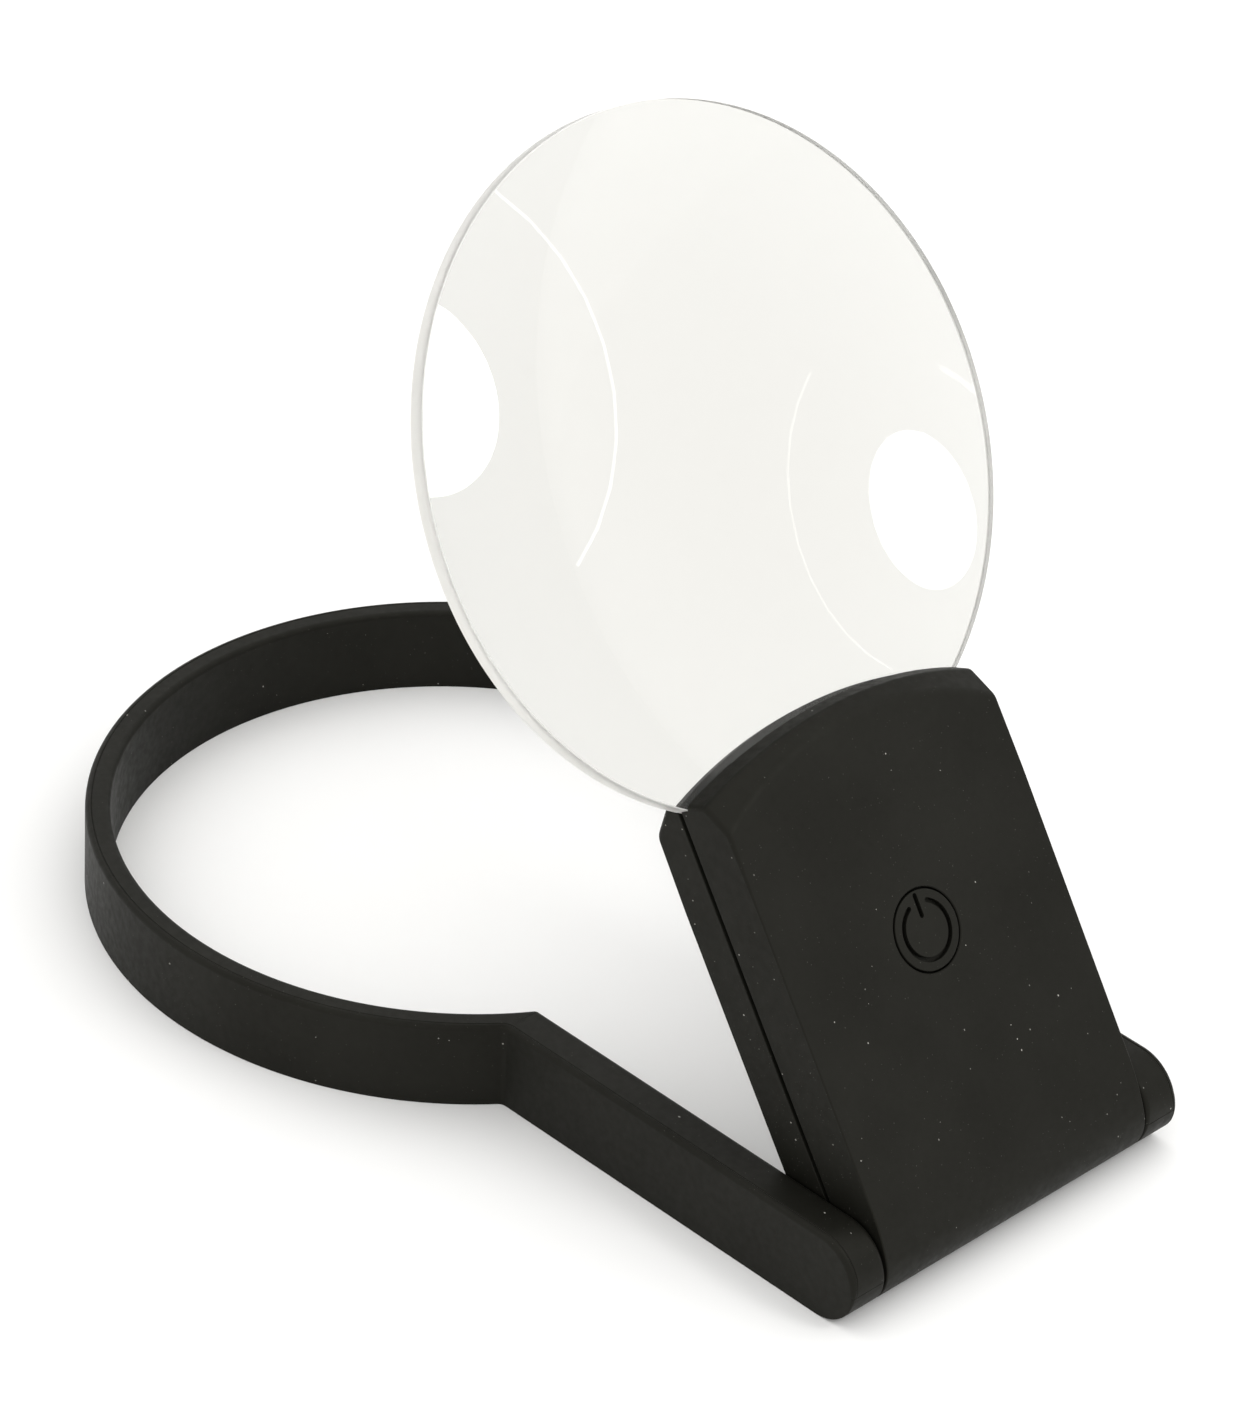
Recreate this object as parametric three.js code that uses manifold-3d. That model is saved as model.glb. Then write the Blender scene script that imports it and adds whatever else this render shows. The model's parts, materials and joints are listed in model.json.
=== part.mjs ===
// Low vision magnifier: a rimless lens in a slim battery head, hinged between the arms of a ring stand.
// Millimetres, +Z up. The origin is under the middle of the object, on the table.
import * as THREE from 'three';
import { mergeVertices } from 'three/addons/utils/BufferGeometryUtils.js';
import Module from 'manifold-3d';

const wasm = await Module();
wasm.setup();

// ---------- Driving dimensions ----------

// Ring stand
const STAND_HEIGHT = 12.4;
const ARM_END_RADIUS = STAND_HEIGHT / 2;
const RING_OUTER = 50.1;
const RING_WALL = 3.4;
const RING_INNER = RING_OUTER - RING_WALL;
const RING_CENTRE = 96.6; // from the hinge axis
const ARM_INNER = 24.1; // half the gap between the arms
const ARM_OUTER = 29.85;
const CROTCH_FILLET = 1.2;
const STAND_EDGE = 0.75; // rounding of the upper long edges

// Lens
const LENS_RADIUS = 45;
const LENS_CENTRE = 97.6; // from the hinge axis
const LENS_BACK = -1.65; // where the edge band begins and ends
const LENS_FRONT = 0.91;
const LENS_BULGE = 4;

// Head
const TILT = THREE.MathUtils.degToRad(56); // above the stand
const HEAD_HALF = 23.8;
const HEAD_FACE = 6.97; // half the depth
const BARREL_BLEND = THREE.MathUtils.degToRad(15);
const DOME_RADIUS = 64.6; // about the hinge axis
const DOME_LEAN = 0.17; // how far the end wall leans in, per millimetre in front of the lens
// Each bevel is a cone about BEVEL_CENTRE: its radius at the face and its widening away from the face.
const BEVEL_CENTRE = 15; // from the hinge axis
const FRONT_BEVEL = { radius: 47, slope: 1.25 };
const BACK_BEVEL = { radius: 48, slope: 0.8 };
const WALL = 1.4;
const SEAM = -0.7; // the depth at which the two covers meet
const SEAM_GAP = 0.4;
const CAVITY_TOP = 54;
const CAVITY_HALF = HEAD_HALF - WALL;
const CAVITY_FACE = HEAD_FACE - WALL;
const GAP = 0.3; // clearance between neighbouring pieces
const PAST = 1; // how far a cutting tool runs past the face it opens

// Hinge
const PIN_RADIUS = 1.5;
const PIN_HEAD = { radius: 2.6, from: 14.2, to: 15.4 };
const PIN_END = 28.2;
const BUSH = { radius: 3, from: 25.15, to: 28.45 };
const WASHER = { radius: 4.3, from: 24.35, to: 24.85 };
const PIN_BLOCK = { from: 16, low: -6, high: 3.6 };

// Switch and button
const BUTTON_Y = 33.2;
const BUTTON_RADIUS = 5.2;
const BUTTON_HOLE = 5.55;
const BUTTON_EDGE = 0.15;
const BUTTON_FLANGE = { radius: 6.4, from: 4.7, to: CAVITY_FACE - GAP };
const SYMBOL = { radius: 3.75, stroke: 0.55, depth: 0.35, barLow: 2, barHigh: 4.9 };
const SYMBOL_GAP = THREE.MathUtils.degToRad(25); // each side of the bar
const BOARD = { half: 10.4, low: 14, high: 42, from: -0.6, to: 0.4, corner: 1 };
const BOARD_POST = { radius: 1.2, x: 8.4, low: 17, high: 39 };
const SWITCH = { half: 3, from: BOARD.to + GAP, to: 3.4, well: 1.8 };
const PLUNGER = { radius: 1.7, from: 2.5, to: 4.4 };
const RESISTOR = { radius: 0.9, half: 2.2, x: -5, y: 22 };

// Cells and contacts
const CELL_X = 16.6;
const CELL = { radius: 5.15, body: 43.4, length: 44.5, nub: 1.9, round: 0.5 };
const LEFT_CELL_LOW = 8;
const RIGHT_CELL_LOW = 4.9;
const CONTACT = { half: 3.9, thick: 0.4 };
const LOW_CONTACT_Y = 4.2;
const HIGH_CONTACT_Y = 52.8;
const SPRING = { radius: 2.6, wire: 0.35, turns: 3, length: 2.2, taper: 0.35 };
const LEAD_RADIUS = 0.45;

// Light
const LED_BOARD = { half: 8.3, low: 55, high: 60.2, from: -4.1, to: -3.4 };
const LED = { half: 1.5, y: 57.8, x: 4.2, from: -5, to: LED_BOARD.from - GAP };
const WINDOW = { half: 6.8, low: 56, high: 59.6, from: -5.3 };

// Fasteners
const SCREW = { shank: 0.95, head: 1.8, headHeight: 1.2, crown: 1.35, shoulder: 0.35 };
const DRIVE = { reach: 1, half: 0.22, depth: 0.6 };
const UPPER_SCREW = { x: 12, y: 59.5, seat: -5, tip: 4 };
const LOWER_SCREW = { x: 7, y: 0, seat: -4.6, tip: 4 };
const DOOR_SCREW = { name: 'battery_door_screw', x: 0, y: 46, seat: -5, tip: 2 };
const CASE_SCREWS = [
  { name: 'case_screw_upper_left', ...UPPER_SCREW, x: -UPPER_SCREW.x },
  { name: 'case_screw_upper_right', ...UPPER_SCREW },
  { name: 'case_screw_lower_left', ...LOWER_SCREW, x: -LOWER_SCREW.x },
  { name: 'case_screw_lower_right', ...LOWER_SCREW },
];
const BOSS_RADIUS = 2.5;
const SCREW_HOLE = SCREW.shank + GAP;
const HEAD_HOLE = SCREW.head + GAP;

// Battery door
const DOOR = { half: 20.2, low: 8.5, high: 50, corner: 3 };
const DOOR_BOSS = { radius: 3.2, end: -4.2 };
const TONGUE = { half: 6, low: 5.5, high: 11.5, root: 9.5, thick: 1 };
const GRIP = { half: 7, low: 14, width: 0.8, pitch: 2, depth: 0.4, count: 3 };

// Number of steps in a full turn or an arc
const FINE = 120;
const RING_STEPS = 80;
const LENS_STEPS = 64;
const MEDIUM = 24;
const SMALL = 16;
const FACE_STEPS = 5; // from the middle of a lens face to its edge

const FINISHES = {
  black_plastic: { color: 0x23231f, roughness: 0.62, metalness: 0 },
  clear_lens: { color: 0xf3f5f4, roughness: 0.03, metalness: 0, transparent: true, opacity: 0.3 },
  clear_window: { color: 0xe9ecea, roughness: 0.15, metalness: 0, transparent: true, opacity: 0.5 },
  steel: { color: 0xb4b6b8, roughness: 0.35, metalness: 1 },
  acetal: { color: 0xe6e3da, roughness: 0.5, metalness: 0 },
  spring_steel: { color: 0x8f9296, roughness: 0.4, metalness: 1 },
  nickel: { color: 0xc9c6bd, roughness: 0.28, metalness: 1 },
  board_green: { color: 0x1f5a38, roughness: 0.5, metalness: 0 },
  switch_black: { color: 0x1a1a1c, roughness: 0.5, metalness: 0 },
  led_yellow: { color: 0xe8dc92, roughness: 0.3, metalness: 0 },
  resistor_beige: { color: 0xc9ad7a, roughness: 0.5, metalness: 0 },
  cell_sleeve: { color: 0x6f7478, roughness: 0.3, metalness: 0.2 },
  red_wire: { color: 0xa8201c, roughness: 0.5, metalness: 0 },
  black_wire: { color: 0x1c1c1c, roughness: 0.5, metalness: 0 },
};

// ---------- Outlines ----------

// Points along a circular or elliptical arc, both ends included.
function arc(x, y, radius, from, to, steps, radiusY = radius) {
  const points = [];
  for (let i = 0; i <= steps; i += 1) {
    const angle = from + ((to - from) * i) / steps;
    points.push(new THREE.Vector2(x + radius * Math.cos(angle), y + radiusY * Math.sin(angle)));
  }
  return points;
}

function point(x, y) {
  return new THREE.Vector2(x, y);
}

function rectangle(halfWidth, low, high) {
  return [point(-halfWidth, low), point(halfWidth, low), point(halfWidth, high), point(-halfWidth, high)];
}

function roundedRectangle(halfWidth, low, high, corner, steps = 4) {
  const right = halfWidth - corner;
  return [
    ...arc(-right, low + corner, corner, Math.PI, 1.5 * Math.PI, steps),
    ...arc(right, low + corner, corner, -0.5 * Math.PI, 0, steps),
    ...arc(right, high - corner, corner, 0, 0.5 * Math.PI, steps),
    ...arc(-right, high - corner, corner, 0.5 * Math.PI, Math.PI, steps),
  ];
}

// ---------- Solids from outlines ----------

// A plan outline in x and y, given thickness along z.
function plate(outline, from, to) {
  const shape = new THREE.Shape(outline);
  const geometry = new THREE.ExtrudeGeometry(shape, { depth: to - from, bevelEnabled: false });
  return geometry.translate(0, 0, from);
}

// A plate whose top and bottom edges are rounded.
function softPlate(outline, from, to, edge) {
  const geometry = new THREE.ExtrudeGeometry(new THREE.Shape(outline), {
    depth: to - from - 2 * edge,
    bevelThickness: edge,
    bevelSize: edge,
    bevelOffset: -edge,
    bevelSegments: 2,
  });
  return geometry.translate(0, 0, from + edge);
}

// A side outline in y and z, given width along x.
function acrossX(outline, from, to) {
  const geometry = plate(outline, from, to);
  const turn = new THREE.Matrix4().makeBasis(
    new THREE.Vector3(0, 1, 0),
    new THREE.Vector3(0, 0, 1),
    new THREE.Vector3(1, 0, 0),
  );
  return geometry.applyMatrix4(turn);
}

// A block between two corners.
function block(x0, x1, y0, y1, z0, z1) {
  const geometry = new THREE.BoxGeometry(x1 - x0, y1 - y0, z1 - z0);
  return geometry.translate((x0 + x1) / 2, (y0 + y1) / 2, (z0 + z1) / 2);
}

// A profile of radius against height, turned about the z axis.
function turned(profile, steps) {
  const geometry = new THREE.LatheGeometry(profile, steps);
  return geometry.rotateX(Math.PI / 2);
}

function rod(radius, from, to, steps = SMALL) {
  return turned([point(0, from), point(radius, from), point(radius, to), point(0, to)], steps);
}

function tube(outer, inner, from, to, steps = MEDIUM) {
  const section = [point(inner, from), point(outer, from), point(outer, to), point(inner, to)];
  return turned([...section, section[0]], steps);
}

// Turns a z-axis solid onto the x axis, pointing left (-1) or right (+1).
function alongX(geometry, side) {
  return geometry.rotateY((side * Math.PI) / 2);
}

// A round wire along a curve.
function wire(curve, radius, steps, sides = 6) {
  const section = new THREE.Shape(arc(0, 0, radius, 0, 2 * Math.PI, sides).slice(0, sides));
  return new THREE.ExtrudeGeometry(section, { extrudePath: curve, steps, bevelEnabled: false });
}

// ---------- Joining and cutting ----------

function toSolid(geometry) {
  const bare = geometry.clone();
  bare.deleteAttribute('normal');
  bare.deleteAttribute('uv');
  const welded = mergeVertices(bare);
  const corners = welded.index.array;
  const kept = [];
  for (let i = 0; i < corners.length; i += 3) {
    const [a, b, c] = corners.subarray(i, i + 3);
    if (a !== b && b !== c && c !== a) {
      kept.push(a, b, c);
    }
  }
  const vertProperties = new Float32Array(welded.attributes.position.array);
  return new wasm.Manifold(new wasm.Mesh({ numProp: 3, vertProperties, triVerts: new Uint32Array(kept) }));
}

function toGeometry(solid) {
  const mesh = solid.getMesh();
  const geometry = new THREE.BufferGeometry();
  geometry.setAttribute('position', new THREE.BufferAttribute(mesh.vertProperties, 3));
  geometry.setIndex(new THREE.BufferAttribute(mesh.triVerts, 1));
  return geometry;
}

function join(base, pieces) {
  return pieces.reduce((solid, piece) => solid.add(toSolid(piece)), base);
}

function cut(base, tools) {
  return tools.reduce((solid, tool) => solid.subtract(toSolid(tool)), base);
}

function part(name, geometry, finish) {
  const mesh = new THREE.Mesh(geometry, new THREE.MeshStandardMaterial(FINISHES[finish]));
  mesh.name = name;
  return mesh;
}

// ---------- Stand: y from the hinge axis, z from the table ----------

function standOutline() {
  const fillet = point(ARM_OUTER + CROTCH_FILLET, 0);
  fillet.y = RING_CENTRE - Math.sqrt((RING_OUTER + CROTCH_FILLET) ** 2 - fillet.x ** 2);
  const meet = Math.atan2(fillet.y - RING_CENTRE, fillet.x); // where the fillet meets the ring
  const crotch = -Math.acos(ARM_INNER / RING_INNER); // where an arm's inner face meets the bore
  const end = -ARM_END_RADIUS - PAST;
  return [
    point(ARM_OUTER, end),
    ...arc(fillet.x, fillet.y, CROTCH_FILLET, Math.PI, Math.PI + meet, 5),
    ...arc(0, RING_CENTRE, RING_OUTER, meet, Math.PI - meet, RING_STEPS),
    ...arc(-fillet.x, fillet.y, CROTCH_FILLET, -meet, 0, 5),
    point(-ARM_OUTER, end),
    point(-ARM_INNER, end),
    ...arc(0, RING_CENTRE, RING_INNER, Math.PI - crotch, crotch, RING_STEPS),
    point(ARM_INNER, end),
  ];
}

// Side view of the stand: a bar whose hinge end is a half circle about the hinge axis.
function standSide() {
  const far = RING_CENTRE + RING_OUTER + PAST;
  const end = arc(0, ARM_END_RADIUS, ARM_END_RADIUS, 0.5 * Math.PI, 1.5 * Math.PI, 20);
  return [...end, point(far, 0), point(far, STAND_HEIGHT)];
}

function standLoop() {
  // The lower rounding of this plate is under the table, where the side view cuts it away.
  const plan = toSolid(softPlate(standOutline(), -STAND_EDGE, STAND_HEIGHT, STAND_EDGE));
  const side = toSolid(acrossX(standSide(), -RING_OUTER - PAST, RING_OUTER + PAST));
  const pockets = [];
  for (const turn of [-1, 1]) {
    const bush = alongX(rod(BUSH.radius + GAP, ARM_INNER - PAST, BUSH.to + GAP, MEDIUM), turn);
    const washer = alongX(rod(WASHER.radius + GAP, ARM_INNER - PAST, WASHER.to + GAP, MEDIUM), turn);
    pockets.push(bush.translate(0, 0, ARM_END_RADIUS), washer.translate(0, 0, ARM_END_RADIUS));
  }
  return toGeometry(cut(plan.intersect(side), pockets));
}

function makeStand() {
  const stand = new THREE.Group();
  stand.add(part('stand_loop', standLoop(), 'black_plastic'));
  for (const [name, turn] of [['left', -1], ['right', 1]]) {
    const bush = alongX(tube(BUSH.radius, PIN_RADIUS + GAP, BUSH.from, BUSH.to), turn);
    const washer = alongX(tube(WASHER.radius, PIN_RADIUS + GAP, WASHER.from, WASHER.to), turn);
    const pieces = [
      part(`hinge_bush_${name}`, bush, 'acetal'),
      part(`friction_washer_${name}`, washer, 'spring_steel'),
    ];
    for (const piece of pieces) {
      piece.position.z = ARM_END_RADIUS;
      stand.add(piece);
    }
  }
  return stand;
}

// ---------- Head: x across, y from the hinge axis to the lens, z out of the front face ----------

// Side view of the head: flat faces running into a barrel about the hinge axis.
function headSide(face, barrel) {
  const start = point(-barrel * Math.sin(BARREL_BLEND), barrel * Math.cos(BARREL_BLEND));
  const rise = face - start.y;
  const bend = start.x + rise / Math.tan(BARREL_BLEND);
  const flat = bend + rise / Math.sin(BARREL_BLEND);
  const sweep = 0.5 * Math.PI + BARREL_BLEND;
  const top = new THREE.QuadraticBezierCurve(start, point(bend, face), point(flat, face)).getPoints(5);
  const mirrored = top.map((corner) => point(corner.x, -corner.y)).reverse();
  const barrelArc = arc(0, 0, barrel, 2 * Math.PI - sweep, sweep, 16).slice(1, -1);
  const far = DOME_RADIUS + PAST;
  return [...mirrored, ...barrelArc, ...top, point(far, face), point(far, -face)];
}

// A disc about the hinge axis whose rim makes the head's domed end wall.
function domeDisc() {
  const front = HEAD_FACE + PAST;
  const profile = [
    point(0, -front),
    point(DOME_RADIUS, -front),
    point(DOME_RADIUS, LENS_FRONT),
    point(DOME_RADIUS - DOME_LEAN * (front - LENS_FRONT), front),
    point(0, front),
  ];
  return turned(profile, FINE);
}

// A cone that bevels the domed end towards the front face (1) or the back face (-1).
function bevelCone({ radius, slope }, side) {
  const far = radius + slope * (2 * HEAD_FACE + PAST);
  const near = radius - slope * PAST;
  const ends = [point(far, -side * (HEAD_FACE + PAST)), point(near, side * (HEAD_FACE + PAST))];
  const [low, high] = side > 0 ? ends : ends.reverse();
  return turned([point(0, low.y), low, high, point(0, high.y)], FINE).translate(0, BEVEL_CENTRE, 0);
}

function headBody() {
  const prism = toSolid(acrossX(headSide(HEAD_FACE, ARM_END_RADIUS), -HEAD_HALF, HEAD_HALF));
  const cones = toSolid(bevelCone(FRONT_BEVEL, 1)).intersect(toSolid(bevelCone(BACK_BEVEL, -1)));
  return prism.intersect(toSolid(domeDisc())).intersect(cones);
}

function lensSolid(clearance) {
  const radius = LENS_RADIUS + clearance;
  const curve = (LENS_RADIUS ** 2 + LENS_BULGE ** 2) / (2 * LENS_BULGE); // radius of each face
  const back = [];
  const front = [];
  for (let i = 0; i <= FACE_STEPS; i += 1) {
    const r = (radius * i) / FACE_STEPS;
    const bulge = LENS_BULGE + clearance - curve + Math.sqrt(curve ** 2 - r ** 2);
    back.push(point(r, LENS_BACK - bulge));
    front.unshift(point(r, LENS_FRONT + bulge));
  }
  return turned([...back, ...front], LENS_STEPS).translate(0, LENS_CENTRE, 0);
}

function lens() {
  const holes = [-1, 1].map((side) =>
    rod(SCREW_HOLE + GAP, -HEAD_FACE, HEAD_FACE).translate(side * UPPER_SCREW.x, UPPER_SCREW.y, 0),
  );
  return toGeometry(cut(toSolid(lensSolid(0)), holes));
}

// The space inside the head, less the blocks at both ends that carry the hinge pins.
function cavity() {
  const room = acrossX(headSide(CAVITY_FACE, ARM_END_RADIUS - WALL), -CAVITY_HALF, CAVITY_HALF);
  const limit = block(-HEAD_HALF, HEAD_HALF, -2 * HEAD_FACE, CAVITY_TOP, -HEAD_FACE, HEAD_FACE);
  const blocks = [-1, 1].map((side) => {
    const reach = [side * PIN_BLOCK.from, side * HEAD_HALF].sort((a, b) => a - b);
    return block(...reach, PIN_BLOCK.low, PIN_BLOCK.high, -HEAD_FACE, HEAD_FACE);
  });
  return cut(toSolid(room).intersect(toSolid(limit)), blocks);
}

function pinBores() {
  const from = PIN_BLOCK.from - PAST;
  return [-1, 1].map((side) => alongX(rod(PIN_RADIUS + GAP, from, HEAD_HALF + PAST), side));
}

// Clearance for a screw: its shank as far as past its tip, and its head out through the back face.
function screwHoles(screw) {
  const shank = rod(SCREW_HOLE, screw.seat - PAST, screw.tip + GAP).translate(screw.x, screw.y, 0);
  const head = rod(HEAD_HOLE, -HEAD_FACE - PAST, screw.seat + GAP).translate(screw.x, screw.y, 0);
  return [shank, head];
}

// The half of the head in front of the seam or behind it.
function shellHalf(front) {
  const open = SEAM_GAP / 2;
  const [from, to] = front ? [SEAM + open, HEAD_FACE + PAST] : [-HEAD_FACE - PAST, SEAM - open];
  const half = block(-HEAD_HALF - PAST, HEAD_HALF + PAST, -2 * HEAD_FACE, DOME_RADIUS + PAST, from, to);
  return headBody().intersect(toSolid(half)).subtract(cavity());
}

function frontCover() {
  const boss = (x, y, radius, end) => rod(radius, end, CAVITY_FACE + WALL / 2).translate(x, y, 0);
  const bosses = [
    boss(-LOWER_SCREW.x, LOWER_SCREW.y, BOSS_RADIUS, SEAM + SEAM_GAP / 2),
    boss(LOWER_SCREW.x, LOWER_SCREW.y, BOSS_RADIUS, SEAM + SEAM_GAP / 2),
    boss(DOOR_SCREW.x, DOOR_SCREW.y, BOSS_RADIUS, DOOR_BOSS.end + GAP),
  ];
  for (const side of [-1, 1]) {
    for (const y of [BOARD_POST.low, BOARD_POST.high]) {
      bosses.push(boss(side * BOARD_POST.x, y, BOARD_POST.radius, BOARD.to + GAP));
    }
  }
  const openings = [
    lensSolid(GAP),
    rod(BUTTON_HOLE, CAVITY_FACE - PAST, HEAD_FACE + PAST, MEDIUM * 2).translate(0, BUTTON_Y, 0),
    ...pinBores(),
    ...CASE_SCREWS.flatMap(screwHoles),
    ...screwHoles(DOOR_SCREW),
  ];
  return toGeometry(cut(join(shellHalf(true), bosses).intersect(headBody()), openings));
}

function backCover() {
  const bosses = [-1, 1].map((side) =>
    rod(BOSS_RADIUS, WALL / 2 - ARM_END_RADIUS, SEAM - SEAM_GAP / 2).translate(
      side * LOWER_SCREW.x,
      LOWER_SCREW.y,
      0,
    ),
  );
  const doorway = roundedRectangle(DOOR.half + GAP, DOOR.low - GAP, DOOR.high + GAP, DOOR.corner);
  const ledBay = block(
    -LED_BOARD.half - GAP,
    LED_BOARD.half + GAP,
    CAVITY_TOP - PAST,
    LED_BOARD.high + GAP,
    WINDOW.from + GAP / 2,
    LENS_BACK,
  );
  const openings = [
    lensSolid(GAP),
    plate(doorway, -HEAD_FACE - PAST, -CAVITY_FACE + PAST),
    plate(windowOutline(GAP), -HEAD_FACE - PAST, LENS_BACK),
    ledBay,
    ...pinBores(),
    ...CASE_SCREWS.flatMap(screwHoles),
  ];
  return toGeometry(cut(join(shellHalf(false), bosses).intersect(headBody()), openings));
}

// A panel with a tongue at its hinge end, a boss for its screw and grip grooves across its outer face.
function batteryDoor() {
  const inner = GAP - CAVITY_FACE;
  const skin = WALL / 2 - HEAD_FACE;
  const outline = roundedRectangle(DOOR.half, DOOR.low, DOOR.high, DOOR.corner);
  const panel = plate(outline, -HEAD_FACE, -CAVITY_FACE);
  const tongue = plate(rectangle(TONGUE.half, TONGUE.low, TONGUE.high), inner, inner + TONGUE.thick);
  const root = plate(rectangle(TONGUE.half, TONGUE.root, TONGUE.high), skin, inner + TONGUE.thick / 2);
  const boss = rod(DOOR_BOSS.radius, skin, DOOR_BOSS.end).translate(DOOR_SCREW.x, DOOR_SCREW.y, 0);
  const grooves = [];
  for (let i = 0; i < GRIP.count; i += 1) {
    const low = GRIP.low + i * GRIP.pitch;
    const groove = rectangle(GRIP.half, low, low + GRIP.width);
    grooves.push(plate(groove, -HEAD_FACE - PAST, -HEAD_FACE + GRIP.depth));
  }
  const solid = join(toSolid(panel), [tongue, root, boss]);
  return toGeometry(cut(solid, [...grooves, ...screwHoles(DOOR_SCREW)]));
}

function windowOutline(clearance) {
  const { half, low, high } = WINDOW;
  return roundedRectangle(half + clearance, low - clearance, high + clearance, (high - low) / 2, 5);
}

// The window's outer face follows the head's rounded back bevel.
function lightWindow() {
  return toGeometry(toSolid(plate(windowOutline(0), -HEAD_FACE - PAST, WINDOW.from)).intersect(headBody()));
}

function hingePin() {
  const { radius, from, to } = PIN_HEAD;
  const chamfer = 0.3;
  const profile = [
    point(0, from),
    point(radius - chamfer, from),
    point(radius, from + chamfer),
    point(radius, to),
    point(PIN_RADIUS, to),
    point(PIN_RADIUS, PIN_END - chamfer),
    point(PIN_RADIUS - chamfer, PIN_END),
    point(0, PIN_END),
  ];
  return turned(profile, SMALL);
}

// A pan-head screw with a crossed drive, its head towards the back face.
function screw({ seat, tip }) {
  const top = seat - SCREW.headHeight;
  const profile = [
    point(0, top),
    point(SCREW.crown, top),
    point(SCREW.head, top + SCREW.shoulder),
    point(SCREW.head, seat),
    point(SCREW.shank, seat),
    point(SCREW.shank, tip - SCREW.shank),
    point(0, tip),
  ];
  const { reach, half, depth } = DRIVE;
  const drive = [
    block(-reach, reach, -half, half, top - PAST, top + depth),
    block(-half, half, -reach, reach, top - PAST, top + depth),
  ];
  return toGeometry(cut(toSolid(turned(profile, SMALL)), drive));
}

// ---------- Button ----------

function buttonCap() {
  const profile = [
    point(0, BUTTON_FLANGE.from),
    point(BUTTON_FLANGE.radius, BUTTON_FLANGE.from),
    point(BUTTON_FLANGE.radius, BUTTON_FLANGE.to),
    point(BUTTON_RADIUS, BUTTON_FLANGE.to),
    point(BUTTON_RADIUS, HEAD_FACE - BUTTON_EDGE),
    point(BUTTON_RADIUS - BUTTON_EDGE, HEAD_FACE),
    point(0, HEAD_FACE),
  ];
  return toGeometry(cut(toSolid(turned(profile, MEDIUM * 2)), symbolTools()));
}

// The standby sign: a ring open at the top, with an upright bar in the opening.
function symbolTools() {
  const from = 0.5 * Math.PI + SYMBOL_GAP;
  const to = 2.5 * Math.PI - SYMBOL_GAP;
  const reach = SYMBOL.stroke / 2;
  const ring = [
    ...arc(0, 0, SYMBOL.radius + reach, from, to, 28),
    ...arc(0, 0, SYMBOL.radius - reach, to, from, 28),
  ];
  const floor = HEAD_FACE - SYMBOL.depth;
  return [
    plate(ring, floor, HEAD_FACE + PAST),
    plate(rectangle(reach, SYMBOL.barLow, SYMBOL.barHigh), floor, HEAD_FACE + PAST),
  ];
}

function makeButton() {
  const button = new THREE.Group();
  button.add(part('button_cap', buttonCap(), 'black_plastic'));
  button.add(part('switch_plunger', rod(PLUNGER.radius, PLUNGER.from, PLUNGER.to), 'switch_black'));
  button.position.y = BUTTON_Y;
  return button;
}

// ---------- Electrics ----------

function tactSwitch() {
  const { half, from, to, well } = SWITCH;
  const body = toSolid(block(-half, half, -half, half, from, to));
  return toGeometry(cut(body, [rod(PLUNGER.radius + GAP, well, to + PAST)]));
}

function circuitBoard() {
  return plate(roundedRectangle(BOARD.half, BOARD.low, BOARD.high, BOARD.corner), BOARD.from, BOARD.to);
}

function resistor() {
  return rod(RESISTOR.radius, -RESISTOR.half, RESISTOR.half).rotateX(Math.PI / 2);
}

function cell() {
  const { radius, body, length, nub, round } = CELL;
  const profile = [
    point(0, 0),
    point(radius - round, 0),
    point(radius, round),
    point(radius, body - round),
    point(radius - round, body),
    point(nub, body),
    point(nub, length),
    point(0, length),
  ];
  return turned(profile, MEDIUM).rotateX(-Math.PI / 2);
}

class Helix extends THREE.Curve {
  getPoint(t, target = new THREE.Vector3()) {
    const angle = 2 * Math.PI * SPRING.turns * t;
    const radius = SPRING.radius * (1 - SPRING.taper * t);
    return target.set(radius * Math.cos(angle), SPRING.length * t, radius * Math.sin(angle));
  }
}

function contactSpring() {
  return wire(new Helix(), SPRING.wire, 10 * SPRING.turns, 5);
}

function contactPlate(half) {
  return block(-half, half, 0, CONTACT.thick, -CONTACT.half, CONTACT.half);
}

// Two positive and two negative leads, soldered to the circuit board at one end.
const LEADS = [
  {
    name: 'battery_lead_positive',
    finish: 'red_wire',
    route: [[-11.6, 52.2, 2.6], [-10.2, 49.4, 3.2], [-8.6, 45.6, 2.8], [-7.6, 42.4, 1.8], [-7.4, 40.6, 1.3]],
  },
  {
    name: 'battery_lead_negative',
    finish: 'black_wire',
    route: [[11.6, 52.2, 2.6], [10.2, 49.4, 3.2], [8.6, 45.6, 2.8], [7.6, 42.4, 1.8], [7.4, 40.6, 1.3]],
  },
  {
    name: 'led_lead_positive',
    finish: 'red_wire',
    route: [[-5, 39, -1.5], [-5, 42.5, -2.2], [-5.4, 46.5, -3.2], [-5.6, 50.5, -3.7], [-5.6, 54.3, -3.8]],
  },
  {
    name: 'led_lead_negative',
    finish: 'black_wire',
    route: [[5, 39, -1.5], [5, 42.5, -2.2], [5.4, 46.5, -3.2], [5.6, 50.5, -3.7], [5.6, 54.3, -3.8]],
  },
];
function makeLead({ name, finish, route }) {
  const curve = new THREE.CatmullRomCurve3(route.map((place) => new THREE.Vector3(...place)));
  return part(name, wire(curve, LEAD_RADIUS, 14), finish);
}

function place(mesh, x, y, z = 0) {
  mesh.position.set(x, y, z);
  return mesh;
}

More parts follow.
